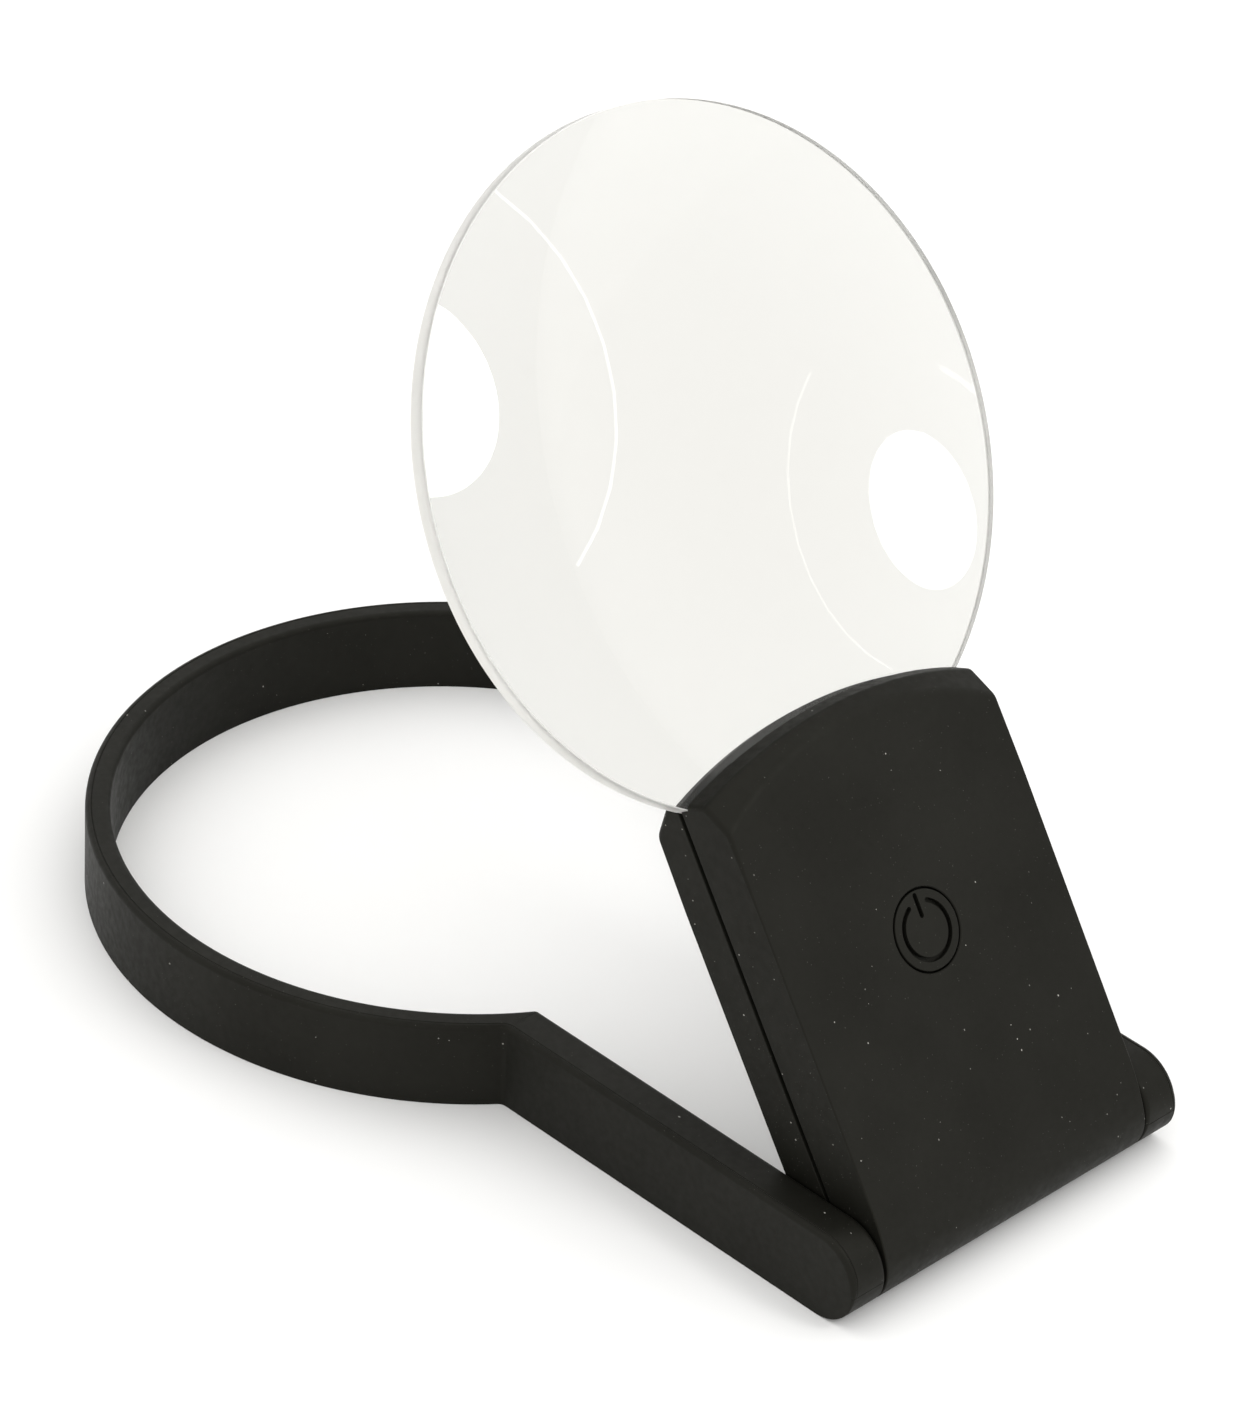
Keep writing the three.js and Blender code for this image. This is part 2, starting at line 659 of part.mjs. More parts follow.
function makeContacts() {
  const long = contactPlate(CELL_X + CONTACT.half);
  const link = place(part('link_contact', long, 'nickel'), 0, LOW_CONTACT_Y);
  const short = contactPlate(CONTACT.half);
  const positive = place(part('positive_contact', short, 'nickel'), -CELL_X, HIGH_CONTACT_Y);
  const negative = place(part('negative_contact', short.clone(), 'nickel'), CELL_X, HIGH_CONTACT_Y);
  const lowSeat = LOW_CONTACT_Y + CONTACT.thick + SPRING.wire + GAP / 2;
  const highSeat = HIGH_CONTACT_Y - SPRING.wire - GAP / 2;
  const linkSpring = place(part('link_spring', contactSpring(), 'nickel'), -CELL_X, lowSeat);
  const negativeSpring = place(part('negative_spring', contactSpring(), 'nickel'), CELL_X, highSeat);
  negativeSpring.rotation.z = Math.PI;
  return [link, positive, negative, linkSpring, negativeSpring];
}

function makeCells() {
  const left = place(part('battery_left', cell(), 'cell_sleeve'), -CELL_X, LEFT_CELL_LOW);
  const right = place(part('battery_right', cell(), 'cell_sleeve'), CELL_X, RIGHT_CELL_LOW + CELL.length);
  right.rotation.z = Math.PI;
  return [left, right];
}

function makeLight() {
  const light = new THREE.Group();
  const { half, low, high, from, to } = LED_BOARD;
  light.add(part('led_board', block(-half, half, low, high, from, to), 'board_green'));
  for (const [name, side] of [['left', -1], ['right', 1]]) {
    const chip = block(-LED.half, LED.half, -LED.half, LED.half, LED.from, LED.to);
    light.add(place(part(`led_${name}`, chip, 'led_yellow'), side * LED.x, LED.y));
  }
  light.add(part('light_window', lightWindow(), 'clear_window'));
  return light;
}

// ---------- Assembly ----------

function makeHead() {
  const head = new THREE.Group();
  head.add(part('front_cover', frontCover(), 'black_plastic'));
  head.add(part('back_cover', backCover(), 'black_plastic'));
  head.add(part('battery_door', batteryDoor(), 'black_plastic'));
  head.add(part('lens', lens(), 'clear_lens'));
  head.add(part('hinge_pin_left', alongX(hingePin(), -1), 'steel'));
  head.add(part('hinge_pin_right', alongX(hingePin(), 1), 'steel'));
  for (const spec of [...CASE_SCREWS, DOOR_SCREW]) {
    head.add(place(part(spec.name, screw(spec), 'steel'), spec.x, spec.y));
  }
  head.add(part('circuit_board', circuitBoard(), 'board_green'));
  head.add(place(part('tact_switch', tactSwitch(), 'switch_black'), 0, BUTTON_Y));
  const lift = BOARD.to + GAP + RESISTOR.radius;
  head.add(place(part('resistor', resistor(), 'resistor_beige'), RESISTOR.x, RESISTOR.y, lift));
  head.add(...makeCells(), ...makeContacts(), makeLight(), makeButton());
  head.add(...LEADS.map(makeLead));
  head.position.z = ARM_END_RADIUS;
  head.rotation.x = TILT;
  return head;
}

const magnifier = new THREE.Group();
magnifier.add(makeStand(), makeHead());
magnifier.position.y = (ARM_END_RADIUS - RING_CENTRE - RING_OUTER) / 2;

export default magnifier;
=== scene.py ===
"""Low vision magnifier: the finished look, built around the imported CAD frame.

Shapes are made in millimetres in one of two local spaces, then placed in the frame in metres:
stand space is x across, y from the hinge axis towards the ring, z up from the table;
head space is x across, y along the head from the hinge axis to the lens, z out of the front face.
"""
import json
from math import asin, atan2, copysign, cos, pi, radians, sin, sqrt, tan
from operator import mul

import bmesh
import bpy
from mathutils import Matrix, Vector


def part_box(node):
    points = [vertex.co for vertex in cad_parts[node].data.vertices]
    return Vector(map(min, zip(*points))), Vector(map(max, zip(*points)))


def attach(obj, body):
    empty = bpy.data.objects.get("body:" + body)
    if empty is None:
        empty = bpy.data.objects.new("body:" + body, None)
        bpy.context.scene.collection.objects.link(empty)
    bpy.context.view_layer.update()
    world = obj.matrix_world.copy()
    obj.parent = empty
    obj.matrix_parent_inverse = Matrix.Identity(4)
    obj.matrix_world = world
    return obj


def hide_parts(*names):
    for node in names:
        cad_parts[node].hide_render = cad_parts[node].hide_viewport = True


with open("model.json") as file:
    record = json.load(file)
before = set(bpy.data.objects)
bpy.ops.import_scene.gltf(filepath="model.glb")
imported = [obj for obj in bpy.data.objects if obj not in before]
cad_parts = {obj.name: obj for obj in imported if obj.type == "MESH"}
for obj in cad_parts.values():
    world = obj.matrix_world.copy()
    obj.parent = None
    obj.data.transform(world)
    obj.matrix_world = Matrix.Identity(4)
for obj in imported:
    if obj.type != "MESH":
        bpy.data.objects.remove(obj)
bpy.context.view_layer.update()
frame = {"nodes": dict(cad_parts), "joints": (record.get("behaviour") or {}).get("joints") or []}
NODES = frame["nodes"]
MM = 0.001


def box_mm(node):
    """The lowest and highest corners of a CAD node, in millimetres."""
    low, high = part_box(node)
    return low / MM, high / MM


# ---------- Driving dimensions, from the frame ----------

HINGE_JOINT = next(joint for joint in frame["joints"] if joint["name"] == "head_tilt")
HINGE = Vector(HINGE_JOINT["pos_m"])
TILT = -radians(HINGE_JOINT["range_deg"][0])  # the head lies flat at the low end of its range
STAND_HIGH = box_mm("stand_loop")[1]
STAND_SPACE = Matrix.Translation((0, HINGE.y, 0)) @ Matrix.Scale(MM, 4)
HEAD_SPACE = Matrix.Translation(HINGE) @ Matrix.Rotation(TILT, 4, "X") @ Matrix.Scale(MM, 4)

# Ring stand
STAND_HEIGHT = STAND_HIGH.z
END_RADIUS = STAND_HEIGHT / 2
RING_OUTER = STAND_HIGH.x
RING_WALL = 3.4
RING_INNER = RING_OUTER - RING_WALL
RING_CENTRE = STAND_HIGH.y - RING_OUTER - HINGE.y / MM
ARM_INNER = 24.1
ARM_OUTER = 29.85
CROTCH_FILLET = 1.2
CROTCH_CORNER = 0.8
STAND_EDGE = 0.75  # rounding of the upper long edges
FOOT_EDGE = 0.12  # rounding of the lower long edges
END_CREASE = (radians(94), radians(0.7), 0.988)  # place and half width round the arm's end, scale
EDGE_FADE = (radians(70), radians(120))  # where the upper rounding starts and stops turning sharp
EDGE_LINE = (0.2, 0.09)  # width and depth of the fine line behind the outer rounding

# Lens
LENS_RADIUS = box_mm("lens")[1].x
LENS_CENTRE = 97.6
LENS_BACK = -1.65  # where the rim begins and ends
LENS_FRONT = 0.91
LENS_BULGE = 4.0
LENS_CHAMFER = 0.12
LENS_FIT = 0.08  # clearance in its slot
FACE_CURVE = (LENS_RADIUS**2 + LENS_BULGE**2) / (2 * LENS_BULGE)

# Head
HEAD_HALF = box_mm("front_cover")[1].x
HEAD_FLARE = 0.22  # extra half width at the domed end
HEAD_FACE = 6.97
HEAD_STEPS = 56  # sections across the head's width
BARREL_BLEND = radians(15)
DOME_RADIUS = 64.6
DOME_LEAN = 0.17
BEVEL_CENTRE = 15.0
FRONT_BEVEL = (47.0, 1.25)  # radius at the face and its growth with depth
BACK_BEVEL = (48.0, 0.8)
FACE_CORNER = 2.0
WALL_CORNER = 1.0
SIDE_EDGE = 0.22
DOME_EDGE = 0.6
SEAM = -0.7
SEAM_GAP = 0.66
SEAM_EDGE = 0.12
SEAM_STEP = 0.2  # height of the edge rounding next to the seam
LEDGE = LENS_FRONT + 0.5  # where the end wall's own edge rounding begins
FACE_RUN = 10.0  # how far the face's flat is taken back from its bevel
SEAM_LIP = (0.7, 0.4, 0.06)  # distance in from the outside, reach past the seam, and clearance
WALL = 1.4
CAVITY_TOP = 54.0
MOUTH_LIP = 0.15  # chamfer round the openings in the back
GAP = 0.3
PAST = 1.0  # how far a cutting tool runs past what it cuts

# Hinge
PIN_BORE = 1.8
PIN_BLOCK = (16.0, -6.0, 3.6)  # inner end, lowest and highest place along the head
BUSH_BORE = (3.3, 28.75)  # radius and depth from the middle
WASHER_BORE = (4.6, 25.15)

# Button
BUTTON_Y = 33.2
BUTTON_RADIUS = 5.2
BUTTON_HOLE = 5.47
BUTTON_FLANGE = (6.4, 4.7, 5.27)  # radius, underside, top
BUTTON_EDGE = 0.16
BUTTON_LIP = 0.12
SYMBOL_RADIUS = 3.75
SYMBOL_STROKE = 0.66
SYMBOL_DEPTH = 0.8
SYMBOL_GAP = radians(25)  # half the opening at the top of the ring
SYMBOL_BAR = (1.6, 4.95)

# Back of the head
DOOR = (20.2, 8.5, 50.0)  # half width, lowest and highest place along the head
DOOR_CORNER = 3.0
DOOR_EDGE = (0.3, 0.05)  # rounding outside and inside
DOOR_BOSS = (3.2, -4.2)  # radius and inner end
TONGUE = (6.0, 5.5, 11.5, 2.0, 1.0)  # half width, lowest and highest place, root, thickness
GRIP = (7.0, 14.0, 0.8, 2.0, 3)  # half length, lowest place, width, spacing and number of the grooves
GRIP_RAISE = 0.1  # the grooves are cut a little shallower than a half round
WINDOW = (6.8, 56.0, 59.6)  # half width, lowest and highest place along the head
WINDOW_BACK = -5.3
WINDOW_EDGE = (0.2, 0.1)  # rounding outside and inside
LED_BAY = (8.6, 60.5)  # half width and highest place along the head
LEDS = (4.2, 57.8)  # x and place along the head
LED_SIZE = (1.5, 0.3, -4.9, -3.7)  # half width, corner, face and back
LED_POOL = (1.15, -4.75)  # radius and floor of the phosphor's cup
CASE_BOSS = (7.0, 0.0, 2.5)  # x, y and radius of the lower screw bosses
BOARD_POSTS = (8.4, (17.0, 39.0), 1.2)  # x, places along the head, radius
BOSS_ROOT = 5.4  # where bosses and posts end inside the shells' walls
BOARD_SEAT = 0.7
SCREW_SHANK = 0.95
SCREW_HEAD = 1.8
SCREW_HEIGHT = 1.2
SCREW_DOME = 0.55
SCREW_CROSS = (0.95, 0.2, 0.65)  # reach, half width and depth of the cross
THREAD = (0.4, 0.15)  # pitch and depth
SCREWS = {  # x, place along the head, seat under the screw's head, tip
    "case_screw_upper_left": (-12.0, 59.5, -5.0, 4.0),
    "case_screw_upper_right": (12.0, 59.5, -5.0, 4.0),
    "case_screw_lower_left": (-7.0, 0.0, -4.6, 4.0),
    "case_screw_lower_right": (7.0, 0.0, -4.6, 4.0),
    "battery_door_screw": (0.0, 46.0, -5.0, 2.0),
}
DOOR_SCREW = SCREWS["battery_door_screw"]

# Photograph's viewpoint
CAMERA_PLACE = Vector((-0.5278, -0.51005, 0.5335))
CAMERA_AZIMUTH = radians(-46.175)
CAMERA_ELEVATION = radians(33.78)
CAMERA_ROLL = radians(3.304)
CAMERA_LENS = 175.35
CAMERA_REACH = 20.0

# Studio, in metres and watts
LAMP_PLACE = (0.1135, -0.393, 0.4135)
LAMP_AIM = (0.0, -0.015, 0.09)
LAMP_SIZE = (0.122, 0.14)
LAMP_OFFSET = 0.009  # of the lamp's middle from the middle of its reflector
LAMP_POWER = 0.42
LAMP_RIMS = (  # radius, width, start, end, number of pieces
    (0.166, 0.0028, radians(-70), radians(35), 10),
    (0.122, 0.006, radians(-162), radians(-134), 2),
)
LAMP_RIM_GLOW = 3.6
SKY_GLOW = (0.9, 1.45)  # at the horizon and overhead
FLOOR = (4.0, 0.02)  # radius and thickness


# ---------- Mesh making ----------


def new_object(name, bm, space=None):
    """Turns a bmesh in local millimetres into an object whose mesh is in the frame, in metres."""
    bmesh.ops.remove_doubles(bm, verts=bm.verts, dist=1e-4)
    bmesh.ops.recalc_face_normals(bm, faces=bm.faces)
    mesh = bpy.data.meshes.new(name)
    bm.to_mesh(mesh)
    bm.free()
    if space:
        mesh.transform(space)
    obj = bpy.data.objects.new(name, mesh)
    bpy.context.scene.collection.objects.link(obj)
    return obj


def loft(rings, cap=True):
    """A bmesh skin through closed rings of points that all have the same number of points."""
    bm = bmesh.new()
    layers = [[bm.verts.new(place) for place in ring] for ring in rings]
    count = len(rings[0])
    for low, high in zip(layers, layers[1:]):
        for i in range(count):
            j = (i + 1) % count
            bm.faces.new((low[i], low[j], high[j], high[i]))
    if cap:
        bm.faces.new(layers[0])
        bm.faces.new(layers[-1])
    return bm


def lathe(profile, steps, centre=(0.0, 0.0)):
    """A bmesh turned about the z axis from (radius, z) points that start and end on the axis."""
    bm = bmesh.new()
    x, y = centre
    tips = [bm.verts.new((x, y, profile[0][1])), bm.verts.new((x, y, profile[-1][1]))]
    rings = []
    for i in range(steps):
        out, along = cos(2 * pi * i / steps), sin(2 * pi * i / steps)
        rings.append([bm.verts.new((x + r * out, y + r * along, z)) for r, z in profile[1:-1]])
    for i, ring in enumerate(rings):
        after = rings[(i + 1) % steps]
        bm.faces.new((tips[0], ring[0], after[0]))
        bm.faces.new((tips[1], after[-1], ring[-1]))
        for j in range(len(ring) - 1):
            bm.faces.new((ring[j], ring[j + 1], after[j + 1], after[j]))
    return bm


def rod(radius, low, high, steps=64, centre=(0.0, 0.0)):
    return lathe([(0, low), (radius, low), (radius, high), (0, high)], steps, centre)


def across(bm, side=1):
    """Turns a z-axis bmesh onto the x axis."""
    bmesh.ops.transform(bm, matrix=Matrix.Rotation(side * pi / 2, 4, "Y"), verts=bm.verts)
    return bm


def moved(bm, place):
    bmesh.ops.translate(bm, verts=bm.verts, vec=place)
    return bm


def block(low, high):
    bm = bmesh.new()
    bmesh.ops.create_cube(bm, size=1)
    for vert in bm.verts:
        for axis in range(3):
            vert.co[axis] = high[axis] if vert.co[axis] > 0 else low[axis]
    return bm


def plate(outline, low, high):
    return loft([[(x, y, low) for x, y in outline], [(x, y, high) for x, y in outline]])


def quarter_turns(steps):
    """Angles from nought to a quarter turn, both ends included."""
    return [pi / 2 * i / steps for i in range(steps + 1)]


def soft_plate(outline_at, low, high, low_edge, high_edge, steps=4):
    """A plate with rounded edges; outline_at(inset) gives its outline drawn in by that much."""
    rings = []
    for turn in quarter_turns(steps):
        inset = low_edge * (1 - sin(turn))
        rings.append([(x, y, low + low_edge * (1 - cos(turn))) for x, y in outline_at(inset)])
    for turn in quarter_turns(steps):
        inset = high_edge * (1 - cos(turn))
        rings.append([(x, y, high - high_edge * (1 - sin(turn))) for x, y in outline_at(inset)])
    return loft(rings)


def arc(centre, radius, start, end, steps):
    x, y = centre
    angles = [start + (end - start) * i / steps for i in range(steps + 1)]
    return [(x + radius * cos(angle), y + radius * sin(angle)) for angle in angles]


def rounded_rectangle(half, low, high, corner, inset=0.0, steps=10):
    """The outline of a rounded rectangle about x = 0, drawn in by inset."""
    right = half - corner
    quarter = pi / 2
    points = []
    for x, y, start in (
        (right, low + corner, -quarter),
        (right, high - corner, 0),
        (-right, high - corner, quarter),
        (-right, low + corner, pi),
    ):
        points += arc((x, y), corner - inset, start, start + quarter, steps)
    return points


def combine(obj, tools, operation="DIFFERENCE"):
    """Cuts objects made in obj's own space out of its mesh, or joins them to it, one after another."""
    for tool in tools:
        modifier = obj.modifiers.new("combine", "BOOLEAN")
        modifier.operation = operation
        modifier.solver = "MANIFOLD"
        modifier.object = tool
        view = bpy.context.evaluated_depsgraph_get()
        result = bpy.data.meshes.new_from_object(obj.evaluated_get(view))
        obj.modifiers.remove(modifier)
        bpy.data.meshes.remove(tool.data)
        old = obj.data
        obj.data = result
        bpy.data.meshes.remove(old)
    return obj


def cut(obj, *bmeshes):
    return combine(obj, [new_object("tool", bm) for bm in bmeshes])


def add(obj, *bmeshes):
    return combine(obj, [new_object("tool", bm) for bm in bmeshes], "UNION")


def settle(obj, body, nodes, materials, space, crease=35, even=True):
    """Shades a piece, places it in the frame and makes it stand for its CAD nodes."""
    mesh = obj.data
    mesh.transform(space)
    mesh.name = obj.name
    mesh.shade_smooth()
    mesh.set_sharp_from_angle(angle=radians(crease))
    mesh.materials.clear()
    for material in materials:
        mesh.materials.append(material)
    if even:
        weighted = obj.modifiers.new("even shading", "WEIGHTED_NORMAL")
        weighted.keep_sharp = True
        weighted.weight = 100
    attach(obj, body)
    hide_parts(*nodes)
    return obj


# ---------- Materials ----------


class Shader:
    """A node material being put together, with short calls for the nodes used here."""

    def __init__(self, name, **values):
        self.material = bpy.data.materials.new(name)
        self.material.use_nodes = True
        self.nodes = self.material.node_tree.nodes
        self.main = self.nodes["Principled BSDF"]
        self.place = self.nodes.new("ShaderNodeTexCoord").outputs["Object"]
        for socket, value in values.items():
            self.main.inputs[socket.replace("_", " ")].default_value = value

    def node(self, kind, **inputs):
        node = self.nodes.new("ShaderNode" + kind)
        for socket, value in inputs.items():
            node.inputs[socket.replace("_", " ")].default_value = value
        return node

    def link(self, output, socket):
        self.material.node_tree.links.new(output, socket)

    def noise(self, scale, detail=3.0, stretch=(1, 1, 1)):
        mapping = self.node("Mapping", Scale=stretch)
        self.link(self.place, mapping.inputs["Vector"])
        noise = self.node("TexNoise", Scale=scale, Detail=detail)
        self.link(mapping.outputs["Vector"], noise.inputs["Vector"])
        return noise.outputs["Fac"]

    def cells(self, scale, stretch=(1, 1, 1)):
        """Distance to the middle of the nearest cell, and a random number for that cell."""
        mapping = self.node("Mapping", Scale=stretch)
        self.link(self.place, mapping.inputs["Vector"])
        cells = self.node("TexVoronoi", Scale=scale)
        self.link(mapping.outputs["Vector"], cells.inputs["Vector"])
        split = self.node("SeparateColor")
        self.link(cells.outputs["Color"], split.inputs["Color"])
        return cells.outputs["Distance"], split.outputs["Red"]

    def span(self, value, low, high, to_low=0.0, to_high=1.0):
        node = self.node("MapRange", From_Min=low, From_Max=high, To_Min=to_low, To_Max=to_high)
        self.link(value, node.inputs["Value"])
        return node.outputs["Result"]

    def maths(self, operation, first, second):
        node = self.node("Math")
        node.operation = operation
        for socket, value in zip(node.inputs, (first, second)):
            if isinstance(value, (int, float)):
                socket.default_value = value
            else:
                self.link(value, socket)
        return node.outputs[0]

    def mix(self, factor, first, second):
        node = self.node("Mix")
        node.data_type = "RGBA"
        self.link(factor, node.inputs["Factor"])
        for socket, colour in zip((node.inputs[6], node.inputs[7]), (first, second)):
            if isinstance(colour, tuple):
                socket.default_value = (*colour, 1)
            else:
                self.link(colour, socket)
        return node.outputs[2]

    def axis(self, name):
        node = self.node("SeparateXYZ")
        self.link(self.place, node.inputs[0])
        return node.outputs[name]

    def colour(self, output):
        self.link(output, self.main.inputs["Base Color"])

    def roughness(self, output):
        self.link(output, self.main.inputs["Roughness"])

    def bump(self, height, strength, distance):
        node = self.node("Bump", Strength=strength, Distance=distance)
        self.link(height, node.inputs["Height"])
        self.link(node.outputs["Normal"], self.main.inputs["Normal"])


def soft_touch_black(name, dust=0.55):
    """Soft-touch black plastic: fine matt grain, faint smears, fine dust and a few pale specks."""
    shader = Shader(name, Specular_IOR_Level=0.13, Specular_Tint=(1.0, 0.98, 0.88, 1))
    smears = shader.span(shader.noise(60, 4), 0.35, 0.7)
    tone = shader.mix(smears, (0.0061, 0.0060, 0.0045), (0.0095, 0.0094, 0.0075))
    for scale, stretch, sparse, largest, dark, light in (
        (2100, (1, 1, 1), 0.45, 0.15, (0.012, 0.012, 0.010), (0.060, 0.059, 0.052)),
        (800, (1, 0.6, 0.8), dust, 0.085, (0.03, 0.03, 0.026), (0.40, 0.39, 0.36)),
    ):
        distance, number = shader.cells(scale, stretch)
        speck = shader.maths("LESS_THAN", distance, shader.span(number, sparse, 1.0, 0.0, largest))
        dirt = shader.mix(shader.span(shader.noise(700, 1), 0.35, 0.65), dark, light)
        tone = shader.mix(speck, tone, dirt)
    shader.colour(tone)
    shader.roughness(shader.span(shader.noise(900, 2), 0.3, 0.7, 0.46, 0.58))
    shader.bump(shader.noise(7000, 2), 0.35, 0.00002)
    return shader.material


def moulded(name, dark, light, roughness):
    """Plain moulded or painted stuff: two close tones, uneven gloss and a fine grain."""
    shader = Shader(name)
    shader.colour(shader.mix(shader.span(shader.noise(150, 4), 0.35, 0.65), dark, light))
    shader.roughness(shader.span(shader.noise(1200, 3), 0.3, 0.7, roughness - 0.07, roughness + 0.07))
    shader.bump(shader.noise(3000, 2), 0.2, 0.00002)
    return shader.material


def metal(name, dark, light, roughness, stretch):
    """Bare or plated metal with fine drawn or turned lines along the axis of least stretch."""
    shader = Shader(name, Metallic=1.0)
    shader.colour(shader.mix(shader.span(shader.noise(300, 4), 0.35, 0.65), dark, light))
    lines = shader.noise(2500, 3, stretch)
    shader.roughness(shader.span(lines, 0.3, 0.7, roughness - 0.1, roughness + 0.1))
    shader.bump(lines, 0.15, 0.00001)
    return shader.material


def polished_glass():
    """Lens glass, greyer where it is thick, a little patchy and faintly smeared."""
    shader = Shader("polished_glass", Transmission_Weight=0.96, IOR=1.5)
    away = shader.node("VectorMath")
    away.operation = "DISTANCE"
    away.inputs[1].default_value = HEAD_SPACE @ Vector((0, LENS_CENTRE, 0))
    shader.link(shader.place, away.inputs[0])
    thin = shader.maths("POWER", shader.span(away.outputs["Value"], 0.0, LENS_RADIUS * MM), 2.0)
    patch = shader.maths("MULTIPLY", shader.noise(25, 3), 0.2)
    clear = shader.maths("ADD", thin, patch)
    shader.colour(shader.mix(clear, (0.750, 0.744, 0.720), (0.803, 0.801, 0.780)))
    shader.roughness(shader.span(shader.noise(70, 4), 0.55, 0.85, 0.0, 0.02))
    return shader.material


def ground_glass(name, clear, dark, light):
    """Fine ground glass, pale grey-beige."""
    shader = Shader(name, Transmission_Weight=clear, IOR=1.5)
    shader.colour(shader.mix(shader.noise(400, 4), dark, light))
    shader.roughness(shader.span(shader.noise(2500, 3), 0.3, 0.7, 0.28, 0.42))
    shader.bump(shader.noise(6000, 2), 0.1, 0.00001)
    return shader.material


def frosted_window():
    """Clear plastic with a satin inside that spreads the light."""
    shader = Shader("frosted_window", Transmission_Weight=0.9, IOR=1.49)
    shader.colour(shader.mix(shader.noise(200, 3), (0.86, 0.87, 0.86), (0.93, 0.93, 0.92)))
    shader.roughness(shader.span(shader.noise(1500, 2), 0.3, 0.7, 0.12, 0.24))
    shader.bump(shader.noise(4000, 2), 0.2, 0.00002)
    return shader.material


def printed_board():
    """Green solder mask with paler runs of copper under it."""
    shader = Shader("printed_board")
    brick = shader.node("TexBrick", Scale=260.0, Mortar_Size=0.03, Brick_Width=0.9, Row_Height=0.35)
    shader.link(shader.place, brick.inputs["Vector"])
    mask = shader.mix(shader.noise(180, 3), (0.012, 0.085, 0.035), (0.018, 0.110, 0.045))
    shader.colour(shader.mix(brick.outputs["Fac"], mask, (0.05, 0.22, 0.09)))
    shader.roughness(shader.span(shader.noise(900, 2), 0.3, 0.7, 0.28, 0.42))
    shader.bump(brick.outputs["Fac"], 0.4, 0.00003)
    return shader.material


def banded_resistor():
    """Beige lacquer with four painted rings, about the resistor's own axis."""
    shader = Shader("banded_resistor")
    low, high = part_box("resistor")
    along = shader.span(shader.axis("Y"), low.y, high.y)
    tone = shader.mix(shader.noise(500, 3), (0.55, 0.40, 0.22), (0.62, 0.47, 0.28))
    for place, colour in (
        (0.22, (0.35, 0.02, 0.02)),
        (0.38, (0.30, 0.10, 0.02)),
        (0.54, (0.02, 0.02, 0.02)),
        (0.78, (0.55, 0.40, 0.12)),
    ):
        offset = shader.maths("ABSOLUTE", shader.maths("SUBTRACT", along, place), 0.0)
        tone = shader.mix(shader.maths("LESS_THAN", offset, 0.05), tone, colour)
    shader.colour(tone)
    shader.roughness(shader.span(shader.noise(900, 2), 0.3, 0.7, 0.25, 0.40))
    return shader.material


def cell_sleeve():
    """A plain printed foil sleeve, bright silver with a scuffed gloss."""
    shader = Shader("cell_sleeve", Metallic=0.7)
    cloud = shader.span(shader.noise(90, 4), 0.4, 0.6)
    shader.colour(shader.mix(cloud, (0.33, 0.35, 0.37), (0.45, 0.47, 0.49)))
    scuffs = shader.noise(2000, 4, (1, 0.15, 0.15))
    shader.roughness(shader.span(scuffs, 0.35, 0.7, 0.22, 0.45))
    shader.bump(scuffs, 0.1, 0.00001)
    return shader.material


PLASTIC = soft_touch_black("soft_touch_black")
BUTTON_RUBBER = soft_touch_black("button_black", 0.8)
GLASS = polished_glass()
RIM = ground_glass("ground_rim", 0.8, (0.92, 0.91, 0.865), (0.98, 0.975, 0.945))
RIM_EDGE = ground_glass("ground_rim_edge", 0.3, (0.90, 0.89, 0.86), (0.96, 0.96, 0.94))
STEEL = metal("zinc_plated_steel", (0.52, 0.53, 0.55), (0.66, 0.67, 0.68), 0.32, (1, 1, 1))


# ---------- Ring stand ----------


def edge_round(radius, steps=6, line=0.0):
    """(inset, height) from the middle of the bar's side over a rounded edge and the line behind it."""
    straight = END_RADIUS - radius
    width, depth = EDGE_LINE
    edge = [(0.0, 0.0)]
    for turn in quarter_turns(steps):
        edge.append((radius * (1 - cos(turn)), straight + radius * sin(turn)))
    return edge + [(radius + width / 2, END_RADIUS - depth * line), (radius + width, END_RADIUS)]


def offset(place, normal, inset):
    return place[0] - normal[0] * inset, place[1] - normal[1] * inset


def turn_points(centre, radius, start, end, steps, outward=1):
    """Points on an arc, each with the plan normal that points out of the material."""
    points = arc(centre, radius, start, end, steps)
    x, y = centre
    scale = outward / radius
    return [(point, ((point[0] - x) * scale, (point[1] - y) * scale)) for point in points]


